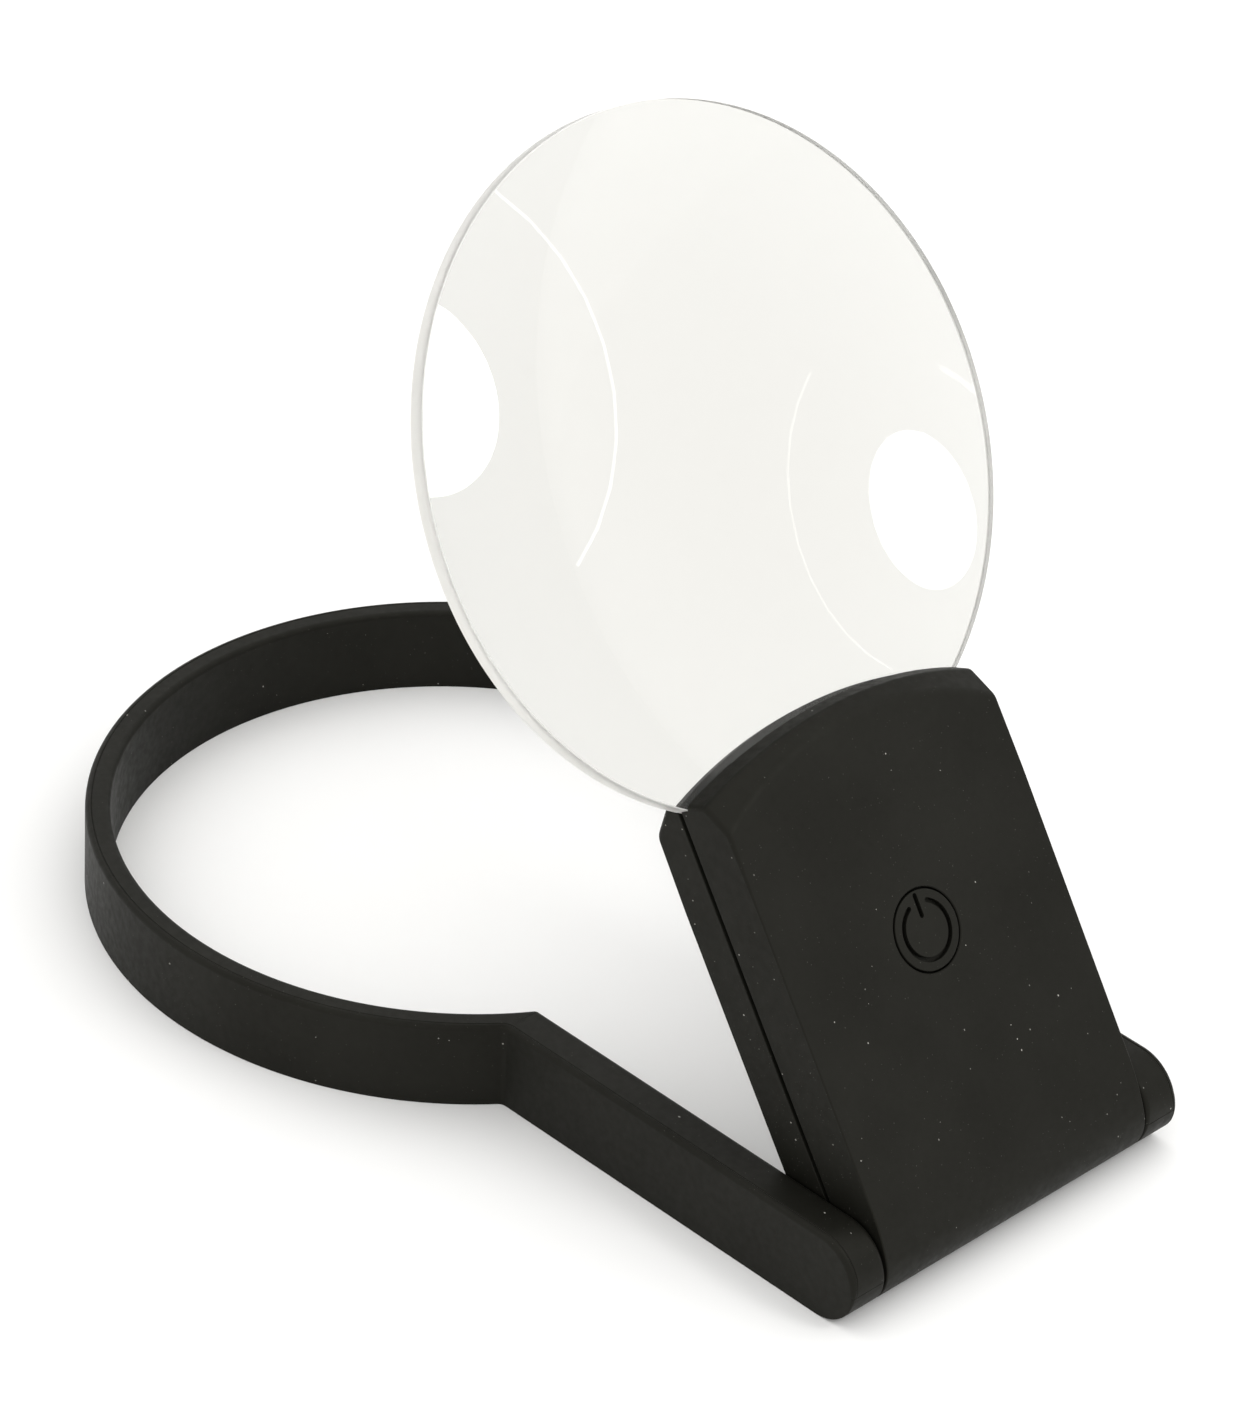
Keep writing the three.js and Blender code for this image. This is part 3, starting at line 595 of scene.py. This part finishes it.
def stand_sides():
    """The bar's outer side and inner side in plan, as matching lists of points and normals."""
    fillet_x = ARM_OUTER + CROTCH_FILLET
    fillet_y = RING_CENTRE - sqrt((RING_OUTER + CROTCH_FILLET) ** 2 - fillet_x**2)
    corner_x = ARM_INNER + CROTCH_CORNER
    corner_y = RING_CENTRE - sqrt((RING_INNER + CROTCH_CORNER) ** 2 - corner_x**2)
    meet = atan2(fillet_y - RING_CENTRE, fillet_x)
    bore = atan2(corner_y - RING_CENTRE, corner_x)
    centre = (0.0, RING_CENTRE)
    steps = 8
    lengths = [fillet_y * i / steps for i in range(steps)]
    outer_arm = [((ARM_OUTER, y), (1.0, 0.0)) for y in lengths]
    inner_arm = [((ARM_INNER, y), (-1.0, 0.0)) for y in lengths]
    outer_arm += turn_points((fillet_x, fillet_y), CROTCH_FILLET, pi, pi + meet, steps, -1)
    inner_arm += turn_points((corner_x, corner_y), CROTCH_CORNER, pi, pi + bore, steps)
    outer_ring = turn_points(centre, RING_OUTER, meet, pi - meet, 180)
    inner_ring = turn_points(centre, RING_INNER, bore, pi - bore, 180, -1)

    def both_arms(arm, ring):
        mirrored = [((-p[0], p[1]), (-n[0], n[1])) for p, n in reversed(arm)]
        return arm + ring[1:-1] + mirrored

    return both_arms(outer_arm, outer_ring), both_arms(inner_arm, inner_ring)


def bar_section(outer, inner):
    """The closed section of the bar between an outer and an inner plan point."""
    upper = edge_round(STAND_EDGE)
    lower = edge_round(FOOT_EDGE)[1:]
    section = [(offset(*outer, inset), height) for inset, height in edge_round(STAND_EDGE, line=1.0)]
    section += [(offset(*inner, inset), height) for inset, height in reversed(upper)]
    section += [(offset(*inner, inset), -height) for inset, height in lower]
    section += [(offset(*outer, inset), -height) for inset, height in reversed(lower)]
    return [(x, y, END_RADIUS + height) for (x, y), height in section]


def arm_end(bm, side):
    """The half-round end of an arm: its upper edge fades to a sharp one, past a fine crease."""
    crease, width, dip = END_CREASE
    start, end = EDGE_FADE
    steps = 24
    above = [((crease - width) * i / steps, 1.0) for i in range(steps + 1)]
    below = [(crease + width + (pi - crease - width) * i / steps, 1.0) for i in range(steps + 1)]
    lines = []
    for turn, scale in above + [(crease, dip)] + below:
        fade = min(1.0, max(0.0, (turn - start) / (end - start)))
        radius = STAND_EDGE + (FOOT_EDGE - STAND_EDGE) * fade
        edge = edge_round(radius)
        chain = [(ARM_OUTER - inset, height) for inset, height in edge_round(radius, line=1 - fade)]
        chain += [(ARM_INNER + inset, height) for inset, height in reversed(edge)]
        out, up = -scale * sin(turn), scale * cos(turn)
        places = [(side * x, height * out, END_RADIUS + height * up) for x, height in chain]
        lines.append([bm.verts.new(place) for place in places])
    for low, high in zip(lines, lines[1:]):
        for i in range(len(low) - 1):
            bm.faces.new((low[i], low[i + 1], high[i + 1], high[i]))


def make_stand():
    outer, inner = stand_sides()
    bm = loft([bar_section(*pair) for pair in zip(outer, inner)], cap=False)
    arm_end(bm, 1)
    arm_end(bm, -1)
    stand = new_object("ring_stand", bm)
    for side in (-1, 1):
        for radius, depth in (BUSH_BORE, WASHER_BORE):
            bore = across(rod(radius, ARM_INNER - PAST, depth), side)
            cut(stand, moved(bore, (0, 0, END_RADIUS)))
    settle(stand, "stand", ["stand_loop"], [PLASTIC], STAND_SPACE)


# ---------- Head shells ----------


def bezier(start, control, end, steps):
    """A quadratic curve, both ends included."""
    curve = []
    for i in range(steps + 1):
        t = i / steps
        shares = ((1 - t) ** 2, 2 * t * (1 - t), t * t)
        curve.append(tuple(sum(map(mul, shares, values)) for values in zip(start, control, end)))
    return curve


def skin_line(face, barrel, start_angle=pi):
    """Side view of one face: from the flat, down its blend and round the barrel to start_angle."""
    tangent = (-barrel * sin(BARREL_BLEND), barrel * cos(BARREL_BLEND))
    rise = face - tangent[1]
    bend = (tangent[0] + rise / tan(BARREL_BLEND), face)
    flat = (bend[0] + rise / sin(BARREL_BLEND), face)
    blend = bezier(flat, bend, tangent, 10)
    return blend + arc((0, 0), barrel, pi / 2 + BARREL_BLEND, start_angle, 20)[1:]


def soften(before, corner, after, radius, steps=6):
    """A rounded corner between two straight lines."""
    into = Vector(corner) - Vector(before)
    out = Vector(after) - Vector(corner)
    reach = radius * tan(into.angle(out) / 2)
    start = Vector(corner) - into.normalized() * reach
    end = Vector(corner) + out.normalized() * reach
    return bezier(start, corner, end, steps)


def wall_reach(x, depth, lean):
    """How far the domed end wall is from the hinge axis, at x and at a depth towards the face."""
    return sqrt((DOME_RADIUS - lean * max(0.0, depth - LENS_FRONT)) ** 2 - x * x)


def bevel_reach(x, depth, bevel):
    radius, slope = bevel
    return BEVEL_CENTRE + sqrt((radius + slope * (HEAD_FACE - depth)) ** 2 - x * x)


def bevel_depth(x, bevel, lean):
    """The depth at which the bevel meets the end wall."""
    low, high = LENS_FRONT, HEAD_FACE
    for _ in range(40):
        middle = (low + high) / 2
        if bevel_reach(x, middle, bevel) > wall_reach(x, middle, lean):
            low = middle
        else:
            high = middle
    return low


def shell_profile(x, side):
    """Closed side view of the front (1) or back (-1) shell at x: (along, depth, edge rounding)."""
    bevel, lean = (FRONT_BEVEL, DOME_LEAN) if side > 0 else (BACK_BEVEL, 0.0)
    seam = side * SEAM + SEAM_GAP / 2
    first = seam + SEAM_STEP
    depth = bevel_depth(x, bevel, lean)
    foot = (wall_reach(x, first, lean), first)
    ledge = (wall_reach(x, LEDGE, lean), LEDGE)
    shoulder = (wall_reach(x, depth, lean), depth)
    brow = (bevel_reach(x, HEAD_FACE, bevel), HEAD_FACE)
    inward = (brow[0] - FACE_RUN, HEAD_FACE)
    barrel_seam = pi - asin(seam / END_RADIUS)
    barrel_first = pi - asin(first / END_RADIUS)
    points = [(wall_reach(x, seam, lean), seam, SEAM_EDGE), (*foot, DOME_EDGE), (*ledge, DOME_EDGE)]
    points += [(*p, DOME_EDGE) for p in soften(ledge, shoulder, brow, WALL_CORNER)]
    points += [(*p, DOME_EDGE) for p in soften(shoulder, brow, inward, FACE_CORNER)]
    points += [(*p, SIDE_EDGE) for p in [inward] + skin_line(HEAD_FACE, END_RADIUS, barrel_first)]
    points.append((END_RADIUS * cos(barrel_seam), END_RADIUS * sin(barrel_seam), SEAM_EDGE))
    return points


def corner_offsets(points):
    """Unit mitre offsets that point out of a closed counter-clockwise outline."""
    offsets = []
    for i, here in enumerate(points):
        before = Vector(here[:2]) - Vector(points[i - 1][:2])
        after = Vector(points[(i + 1) % len(points)][:2]) - Vector(here[:2])
        first = Vector((before.y, -before.x)).normalized()
        second = Vector((after.y, -after.x)).normalized()
        offsets.append((first + second) / (1 + first.dot(second)))
    return offsets


def shell_ring(side, x, turn=0.0):
    """One closed ring of a shell. turn runs from 0 to a quarter as the side edges round over."""
    profile = shell_profile(x, side)
    ring = []
    for (along, depth, edge), away in zip(profile, corner_offsets(profile)):
        inset = edge * (1 - cos(turn))
        wide = x
        if abs(x) > HEAD_HALF - DOME_EDGE - 1e-6:
            wide = copysign(HEAD_HALF - edge * (1 - sin(turn)), x)
        flare = 1 + HEAD_FLARE / HEAD_HALF * max(0.0, along) / DOME_RADIUS
        ring.append((wide * flare, along - away.x * inset, side * (depth - away.y * inset)))
    return ring


def shell_solid(name, side):
    """A shell before it is hollowed, with its side edges rounded."""
    straight = HEAD_HALF - DOME_EDGE
    edge = [(HEAD_HALF - DOME_EDGE * (1 - sin(turn)), turn) for turn in quarter_turns(6)]
    stations = [(-x, turn) for x, turn in reversed(edge)]
    stations += [(-straight + 2 * straight * i / HEAD_STEPS, 0.0) for i in range(1, HEAD_STEPS)]
    stations += edge
    return new_object(name, loft([shell_ring(side, x, turn) for x, turn in stations]))


def cavity():
    """The room inside the head, less the blocks that carry the hinge pins."""
    face = HEAD_FACE - WALL
    upper = [(CAVITY_TOP, face)] + skin_line(face, END_RADIUS - WALL)
    outline = upper + [(along, -depth) for along, depth in reversed(upper[:-1])]
    half = HEAD_HALF - WALL
    ends = [[(x, along, depth) for along, depth in outline] for x in (-half, half)]
    room = new_object("cavity", loft(ends))
    inner, low, high = PIN_BLOCK
    for left, right in ((inner, HEAD_HALF), (-HEAD_HALF, -inner)):
        cut(room, block((left, low, -HEAD_FACE), (right, high, HEAD_FACE)))
    return room


def seam_lip(clearance=0.0):
    """The low wall inside the seam, part of the front shell, that keeps light and dust out."""
    inset, reach, _ = SEAM_LIP
    inset -= clearance
    low = SEAM - SEAM_GAP / 2 - reach - clearance
    high = SEAM + SEAM_GAP / 2 + reach
    half = HEAD_HALF - inset
    foot = inset - END_RADIUS * cos(asin(low / END_RADIUS))
    rings = []
    for i in range(HEAD_STEPS + 1):
        x = half * (2 * i / HEAD_STEPS - 1)
        end = wall_reach(x, 0.0, 0.0) - inset
        rings.append([(x, foot, low), (x, end, low), (x, end, high), (x, foot, high)])
    return loft(rings)


def lens_profile(clearance=0.0, chamfer=0.0, steps=40):
    radius = LENS_RADIUS + clearance
    reach = [(radius - chamfer) * i / steps for i in range(steps + 1)]
    bulge = [(r, LENS_BULGE + clearance - FACE_CURVE + sqrt(FACE_CURVE**2 - r * r)) for r in reach]
    back = [(r, LENS_BACK - rise) for r, rise in bulge]
    front = [(r, LENS_FRONT + rise) for r, rise in reversed(bulge)]
    rim = [(radius, LENS_BACK + chamfer), (radius, LENS_FRONT - chamfer)] if chamfer else []
    return back + rim + front


def lens_slot():
    return lathe(lens_profile(LENS_FIT), 192, (0.0, LENS_CENTRE))


def pin_bores():
    inner = PIN_BLOCK[0] - PAST
    return [across(rod(PIN_BORE, inner, HEAD_HALF + PAST), side) for side in (-1, 1)]


def screw_holes(x, y, seat, tip):
    clear = SCREW_HEAD + GAP
    shank = rod(SCREW_SHANK + GAP, seat - PAST, tip + GAP, 32, (x, y))
    outside = -HEAD_FACE - PAST
    profile = [(0, outside), (clear + MOUTH_LIP + PAST, outside), (clear, MOUTH_LIP - HEAD_FACE)]
    head = lathe(profile + [(clear, seat + GAP), (0, seat + GAP)], 64, (x, y))
    return [shank, head]


def case_screw_holes():
    return [bm for name, spec in SCREWS.items() if name.startswith("case") for bm in screw_holes(*spec)]


def button_mouth():
    """The hole for the button, with a fine chamfer at the face."""
    floor = BUTTON_FLANGE[1] - BUTTON_LIP - GAP
    wide = BUTTON_HOLE + BUTTON_LIP + PAST
    outside = HEAD_FACE + PAST
    profile = [(0, floor), (BUTTON_HOLE, floor), (BUTTON_HOLE, HEAD_FACE - BUTTON_LIP)]
    return lathe(profile + [(wide, outside), (0, outside)], 96, (0.0, BUTTON_Y))


def make_front_cover():
    cover = combine(add(shell_solid("front_shell", 1), seam_lip()), [cavity()])
    x, y, radius = CASE_BOSS
    seam = SEAM + SEAM_GAP / 2
    add(cover, *[rod(radius, seam, BOSS_ROOT, 32, (side * x, y)) for side in (-1, 1)])
    root = HEAD_FACE - WALL / 2
    add(cover, rod(radius, DOOR_BOSS[1] + GAP, root, 32, DOOR_SCREW[:2]))
    x, places, radius = BOARD_POSTS
    for y in places:
        add(cover, *[rod(radius, BOARD_SEAT, root, 32, (side * x, y)) for side in (-1, 1)])
    cut(cover, lens_slot(), button_mouth(), *pin_bores())
    cut(cover, *case_screw_holes(), *screw_holes(*DOOR_SCREW))
    settle(cover, "head", ["front_cover"], [PLASTIC], HEAD_SPACE)


def door_outline(inset=0.0):
    half, low, high = DOOR
    return rounded_rectangle(half, low, high, DOOR_CORNER, inset)


def doorway():
    """The opening for the battery door, with a small chamfer at its mouth."""
    outside = (-GAP - MOUTH_LIP - PAST, -HEAD_FACE - PAST)
    levels = (outside, (-GAP, MOUTH_LIP - HEAD_FACE), (-GAP, WALL + PAST - HEAD_FACE))
    return loft([[(x, y, depth) for x, y in door_outline(inset)] for inset, depth in levels])


def window_outline(inset=0.0):
    half, low, high = WINDOW
    return rounded_rectangle(half, low, high, (high - low) / 2, inset, 16)


def make_back_cover():
    cover = combine(cut(shell_solid("back_shell", -1), seam_lip(SEAM_LIP[2])), [cavity()])
    x, y, radius = CASE_BOSS
    add(cover, *[rod(radius, -BOSS_ROOT, SEAM - SEAM_GAP / 2, 32, (side * x, y)) for side in (-1, 1)])
    half, high = LED_BAY
    bay = block((-half, CAVITY_TOP - PAST, WINDOW_BACK + GAP / 2), (half, high, LENS_BACK))
    opening = plate(window_outline(-LENS_FIT), -HEAD_FACE - PAST, LENS_BACK)
    cut(cover, lens_slot(), doorway(), opening, bay, *pin_bores(), *case_screw_holes())
    settle(cover, "head", ["back_cover"], [PLASTIC], HEAD_SPACE)


def capsule(radius, half, centre):
    """A rod along x with round ends."""
    y, z = centre
    quarter = [(radius * sin(turn), radius * cos(turn)) for turn in quarter_turns(6)]
    profile = [(r, -half - rise) for r, rise in quarter]
    profile += [(r, half + rise) for r, rise in reversed(quarter)]
    return moved(across(lathe(profile, 24)), (0, y, z))


def make_battery_door():
    face = -HEAD_FACE
    panel = soft_plate(door_outline, face, face + WALL, *DOOR_EDGE)
    door = new_object("battery_hatch", panel)
    half, low, high, root_width, thickness = TONGUE
    inner = face + WALL + GAP
    radius, end = DOOR_BOSS
    root = block((-half, high - root_width, face + WALL / 2), (half, high, inner + thickness / 2))
    tongue = block((-half, low, inner), (half, high, inner + thickness))
    add(door, root, tongue, rod(radius, face + WALL / 2, end, 48, DOOR_SCREW[:2]))
    half, low, width, pitch, count = GRIP
    for i in range(count):
        middle = (low + width / 2 + i * pitch, face - GRIP_RAISE)
        cut(door, capsule(width / 2 + GRIP_RAISE, half - width / 2, middle))
    cut(door, *screw_holes(*DOOR_SCREW))
    settle(door, "head", ["battery_door"], [PLASTIC], HEAD_SPACE)


def make_window():
    pane = soft_plate(window_outline, -HEAD_FACE, WINDOW_BACK, *WINDOW_EDGE)
    window = new_object("clear_window", pane)
    settle(window, "head", ["light_window"], [frosted_window()], HEAD_SPACE)


# ---------- Lens ----------


def make_lens():
    lens = new_object("round_lens", lathe(lens_profile(0.0, LENS_CHAMFER), 256, (0.0, LENS_CENTRE)))
    x, y = SCREWS["case_screw_upper_right"][:2]
    for side in (-1, 1):
        cut(lens, rod(SCREW_SHANK + 2 * GAP, -HEAD_FACE, HEAD_FACE, 32, (side * x, y)))
    settle(lens, "head", ["lens"], [GLASS, RIM, RIM_EDGE], HEAD_SPACE, 25, False)
    middle = HEAD_SPACE @ Vector((0, LENS_CENTRE, 0))
    normal = (HEAD_SPACE.to_3x3() @ Vector((0, 0, 1))).normalized()
    for face in lens.data.polygons:
        arm = face.center - middle
        arm -= normal * arm.dot(normal)
        if arm.length > (LENS_RADIUS - LENS_CHAMFER) * MM:
            face.material_index = 1 if arm.length > (LENS_RADIUS - LENS_CHAMFER / 4) * MM else 2


# ---------- Button and fasteners ----------


def symbol_ring():
    """The open ring of the standby sign, with round ends."""
    reach = SYMBOL_STROKE / 2
    start, end = pi / 2 + SYMBOL_GAP, 2.5 * pi - SYMBOL_GAP
    tips = arc((0, 0), SYMBOL_RADIUS, start, end, 1)
    outline = arc((0, 0), SYMBOL_RADIUS + reach, start, end, 72)
    outline += arc(tips[1], reach, end, end + pi, 8)[1:-1]
    outline += arc((0, 0), SYMBOL_RADIUS - reach, end, start, 72)
    outline += arc(tips[0], reach, start + pi, start + 2 * pi, 8)[1:-1]
    return outline


def symbol_bar():
    reach = SYMBOL_STROKE / 2
    low, high = SYMBOL_BAR
    return arc((0, high - reach), reach, 0, pi, 8) + arc((0, low + reach), reach, pi, 2 * pi, 8)


def make_button():
    flange, low, high = BUTTON_FLANGE
    rounding = bezier((0, BUTTON_EDGE), (0, 0), (BUTTON_EDGE, 0), 5)
    crown = [(BUTTON_RADIUS - r, HEAD_FACE - z) for r, z in rounding]
    profile = [(0, low), (flange, low), (flange, high), (BUTTON_RADIUS, high), *crown, (0, HEAD_FACE)]
    button = new_object("push_button", lathe(profile, 96))
    for outline in (symbol_ring(), symbol_bar()):
        cut(button, plate(outline, HEAD_FACE - SYMBOL_DEPTH, HEAD_FACE + PAST))
    place = HEAD_SPACE @ Matrix.Translation((0, BUTTON_Y, 0))
    settle(button, "power_button", ["button_cap"], [BUTTON_RUBBER], place)


def make_screw(name, spec):
    x, y, seat, tip = spec
    top = seat - SCREW_HEIGHT
    pitch, depth = THREAD
    root = SCREW_SHANK - depth
    profile = [(SCREW_HEAD * sin(t), top + SCREW_DOME * (1 - cos(t))) for t in quarter_turns(8)]
    profile.append((SCREW_HEAD, seat))
    for i in range(int((tip - PAST - seat) / pitch)):
        low = seat + i * pitch
        profile += [(root, low + pitch / 4), (SCREW_SHANK, low + pitch * 5 / 8)]
    profile += [(root, tip - PAST), (0, tip)]
    screw = new_object(name + "_fine", lathe(profile, 48, (x, y)))
    reach, half, sunk = SCREW_CROSS
    for wide, high in ((reach, half), (half, reach)):
        cut(screw, block((x - wide, y - high, top - PAST), (x + wide, y + high, top + sunk)))
    settle(screw, "head", [name], [STEEL], HEAD_SPACE)


def led_package(centre):
    """A square package whose face has a softened edge."""
    half, corner, face, back = LED_SIZE
    x, y = centre
    rings = []
    for inset, depth in ((corner / 2, face), (0.0, face + corner / 2), (0.0, back)):
        outline = rounded_rectangle(half, -half, half, corner, inset)
        rings.append([(x + out, y + along, depth) for out, along in outline])
    return loft(rings)


def make_leds():
    """Each LED is a white package with a round pool of phosphor, facing the window."""
    body = moulded("led_body", (0.75, 0.74, 0.70), (0.82, 0.81, 0.78), 0.4)
    phosphor = moulded("phosphor", (0.78, 0.62, 0.10), (0.86, 0.70, 0.16), 0.35)
    corner, face = LED_SIZE[1:3]
    radius, floor = LED_POOL
    pool = [(radius * sin(t), floor - corner * cos(t)) for t in quarter_turns(6)]
    pool += [(radius, floor + corner), (0, floor + corner)]
    for side, name in ((-1, "led_left"), (1, "led_right")):
        centre = (side * LEDS[0], LEDS[1])
        led = new_object(name + "_package", led_package(centre))
        cut(led, rod(radius, face - PAST, floor, 48, centre))
        add(led, lathe(pool, 48, centre))
        settle(led, "head", [name], [body, phosphor], HEAD_SPACE)
        middle = HEAD_SPACE @ Vector((*centre, floor))
        for facet in led.data.polygons:
            if (facet.center - middle).length < radius * MM:
                facet.material_index = 1


# ---------- CAD nodes that stay ----------


def finish_cad_nodes():
    nickel = metal("nickel_plate", (0.60, 0.57, 0.52), (0.72, 0.69, 0.64), 0.26, (0.1, 1, 1))
    spring = metal("spring_steel", (0.30, 0.31, 0.33), (0.42, 0.43, 0.45), 0.36, (1, 1, 1))
    board = printed_board()
    acetal = moulded("acetal", (0.70, 0.68, 0.62), (0.78, 0.76, 0.71), 0.38)
    switch = moulded("switch_body", (0.012, 0.012, 0.013), (0.020, 0.020, 0.022), 0.42)
    red = moulded("red_lead", (0.36, 0.012, 0.010), (0.46, 0.020, 0.015), 0.42)
    black = moulded("black_lead", (0.010, 0.010, 0.010), (0.018, 0.018, 0.018), 0.42)
    for material, names in (
        (acetal, ("hinge_bush_left", "hinge_bush_right")),
        (spring, ("friction_washer_left", "friction_washer_right")),
        (STEEL, ("hinge_pin_left", "hinge_pin_right")),
        (board, ("circuit_board", "led_board")),
        (switch, ("tact_switch", "switch_plunger")),
        (banded_resistor(), ("resistor",)),
        (cell_sleeve(), ("battery_left", "battery_right")),
        (nickel, ("link_contact", "positive_contact", "negative_contact")),
        (nickel, ("link_spring", "negative_spring")),
        (red, ("battery_lead_positive", "led_lead_positive")),
        (black, ("battery_lead_negative", "led_lead_negative")),
    ):
        for name in names:
            mesh = NODES[name].data
            for i in range(len(mesh.materials)):
                mesh.materials[i] = material


# ---------- Studio ----------


def make_camera():
    data = bpy.data.cameras.new("camera")
    data.lens = CAMERA_LENS
    data.clip_end = CAMERA_REACH
    camera = bpy.data.objects.new("camera", data)
    turn = Matrix.Rotation(CAMERA_AZIMUTH, 4, "Z") @ Matrix.Rotation(pi / 2 - CAMERA_ELEVATION, 4, "X")
    camera.matrix_world = Matrix.Translation(CAMERA_PLACE) @ turn @ Matrix.Rotation(CAMERA_ROLL, 4, "Z")
    bpy.context.scene.collection.objects.link(camera)
    bpy.context.scene.camera = camera


def make_light(name, shape, size, place, power):
    """An area light that shows in gloss and in the glass but not straight to the camera."""
    data = bpy.data.lights.new(name, "AREA")
    data.shape = shape
    data.size, data.size_y = size
    data.energy = power
    light = bpy.data.objects.new(name, data)
    light.matrix_world = place
    light.visible_camera = False
    bpy.context.scene.collection.objects.link(light)


def make_lamp():
    """A round soft lamp and the thin bright edges of its reflector, which all show in the lens."""
    centre = Vector(LAMP_PLACE)
    aim = (centre - Vector(LAMP_AIM)).to_track_quat("Z", "Y").to_matrix().to_4x4()
    lamp = Matrix.Translation(centre) @ aim
    make_light("lamp", "ELLIPSE", LAMP_SIZE, lamp @ Matrix.Translation((LAMP_OFFSET, 0, 0)), LAMP_POWER)
    for radius, width, start, end, count in LAMP_RIMS:
        step = (end - start) / count
        length = 2 * radius * tan(step / 2)
        power = LAMP_RIM_GLOW * pi * length * width
        for i in range(count):
            turn = Matrix.Rotation(start + step * (i + 0.5), 4, "Z")
            place = lamp @ turn @ Matrix.Translation((radius, 0, 0))
            make_light("lamp_rim", "RECTANGLE", (width, length), place, power)


def make_room():
    """A pale room that glows more overhead than at the horizon."""
    world = bpy.data.worlds.new("pale_room")
    world.use_nodes = True
    nodes = world.node_tree.nodes
    links = world.node_tree.links
    background = nodes["Background"]
    background.inputs["Color"].default_value = (1.0, 0.995, 0.985, 1)
    split = nodes.new("ShaderNodeSeparateXYZ")
    ramp = nodes.new("ShaderNodeMapRange")
    ramp.inputs["To Min"].default_value, ramp.inputs["To Max"].default_value = SKY_GLOW
    links.new(nodes.new("ShaderNodeTexCoord").outputs["Generated"], split.inputs[0])
    links.new(split.outputs["Z"], ramp.inputs["Value"])
    links.new(ramp.outputs["Result"], background.inputs["Strength"])
    bpy.context.scene.world = world


def paper_white():
    """Matt white paper, faintly uneven."""
    shader = Shader("paper_white")
    shader.colour(shader.mix(shader.noise(8, 2), (0.915, 0.915, 0.910), (0.925, 0.925, 0.920)))
    shader.roughness(shader.span(shader.noise(30, 3), 0.3, 0.7, 0.85, 0.95))
    return shader.material


def make_floor():
    reach, thickness = FLOOR
    floor = new_object("floor", plate(arc((0, 0), reach, 0, 2 * pi, 64)[:-1], -thickness, 0.0))
    floor.data.materials.append(paper_white())


def make_studio():
    bpy.context.scene.view_settings.view_transform = "Standard"
    make_room()
    make_floor()
    make_lamp()


make_camera()
make_stand()
make_front_cover()
make_back_cover()
make_battery_door()
make_window()
make_lens()
make_button()
for screw_name, screw_spec in SCREWS.items():
    make_screw(screw_name, screw_spec)
make_leds()
finish_cad_nodes()
make_studio()
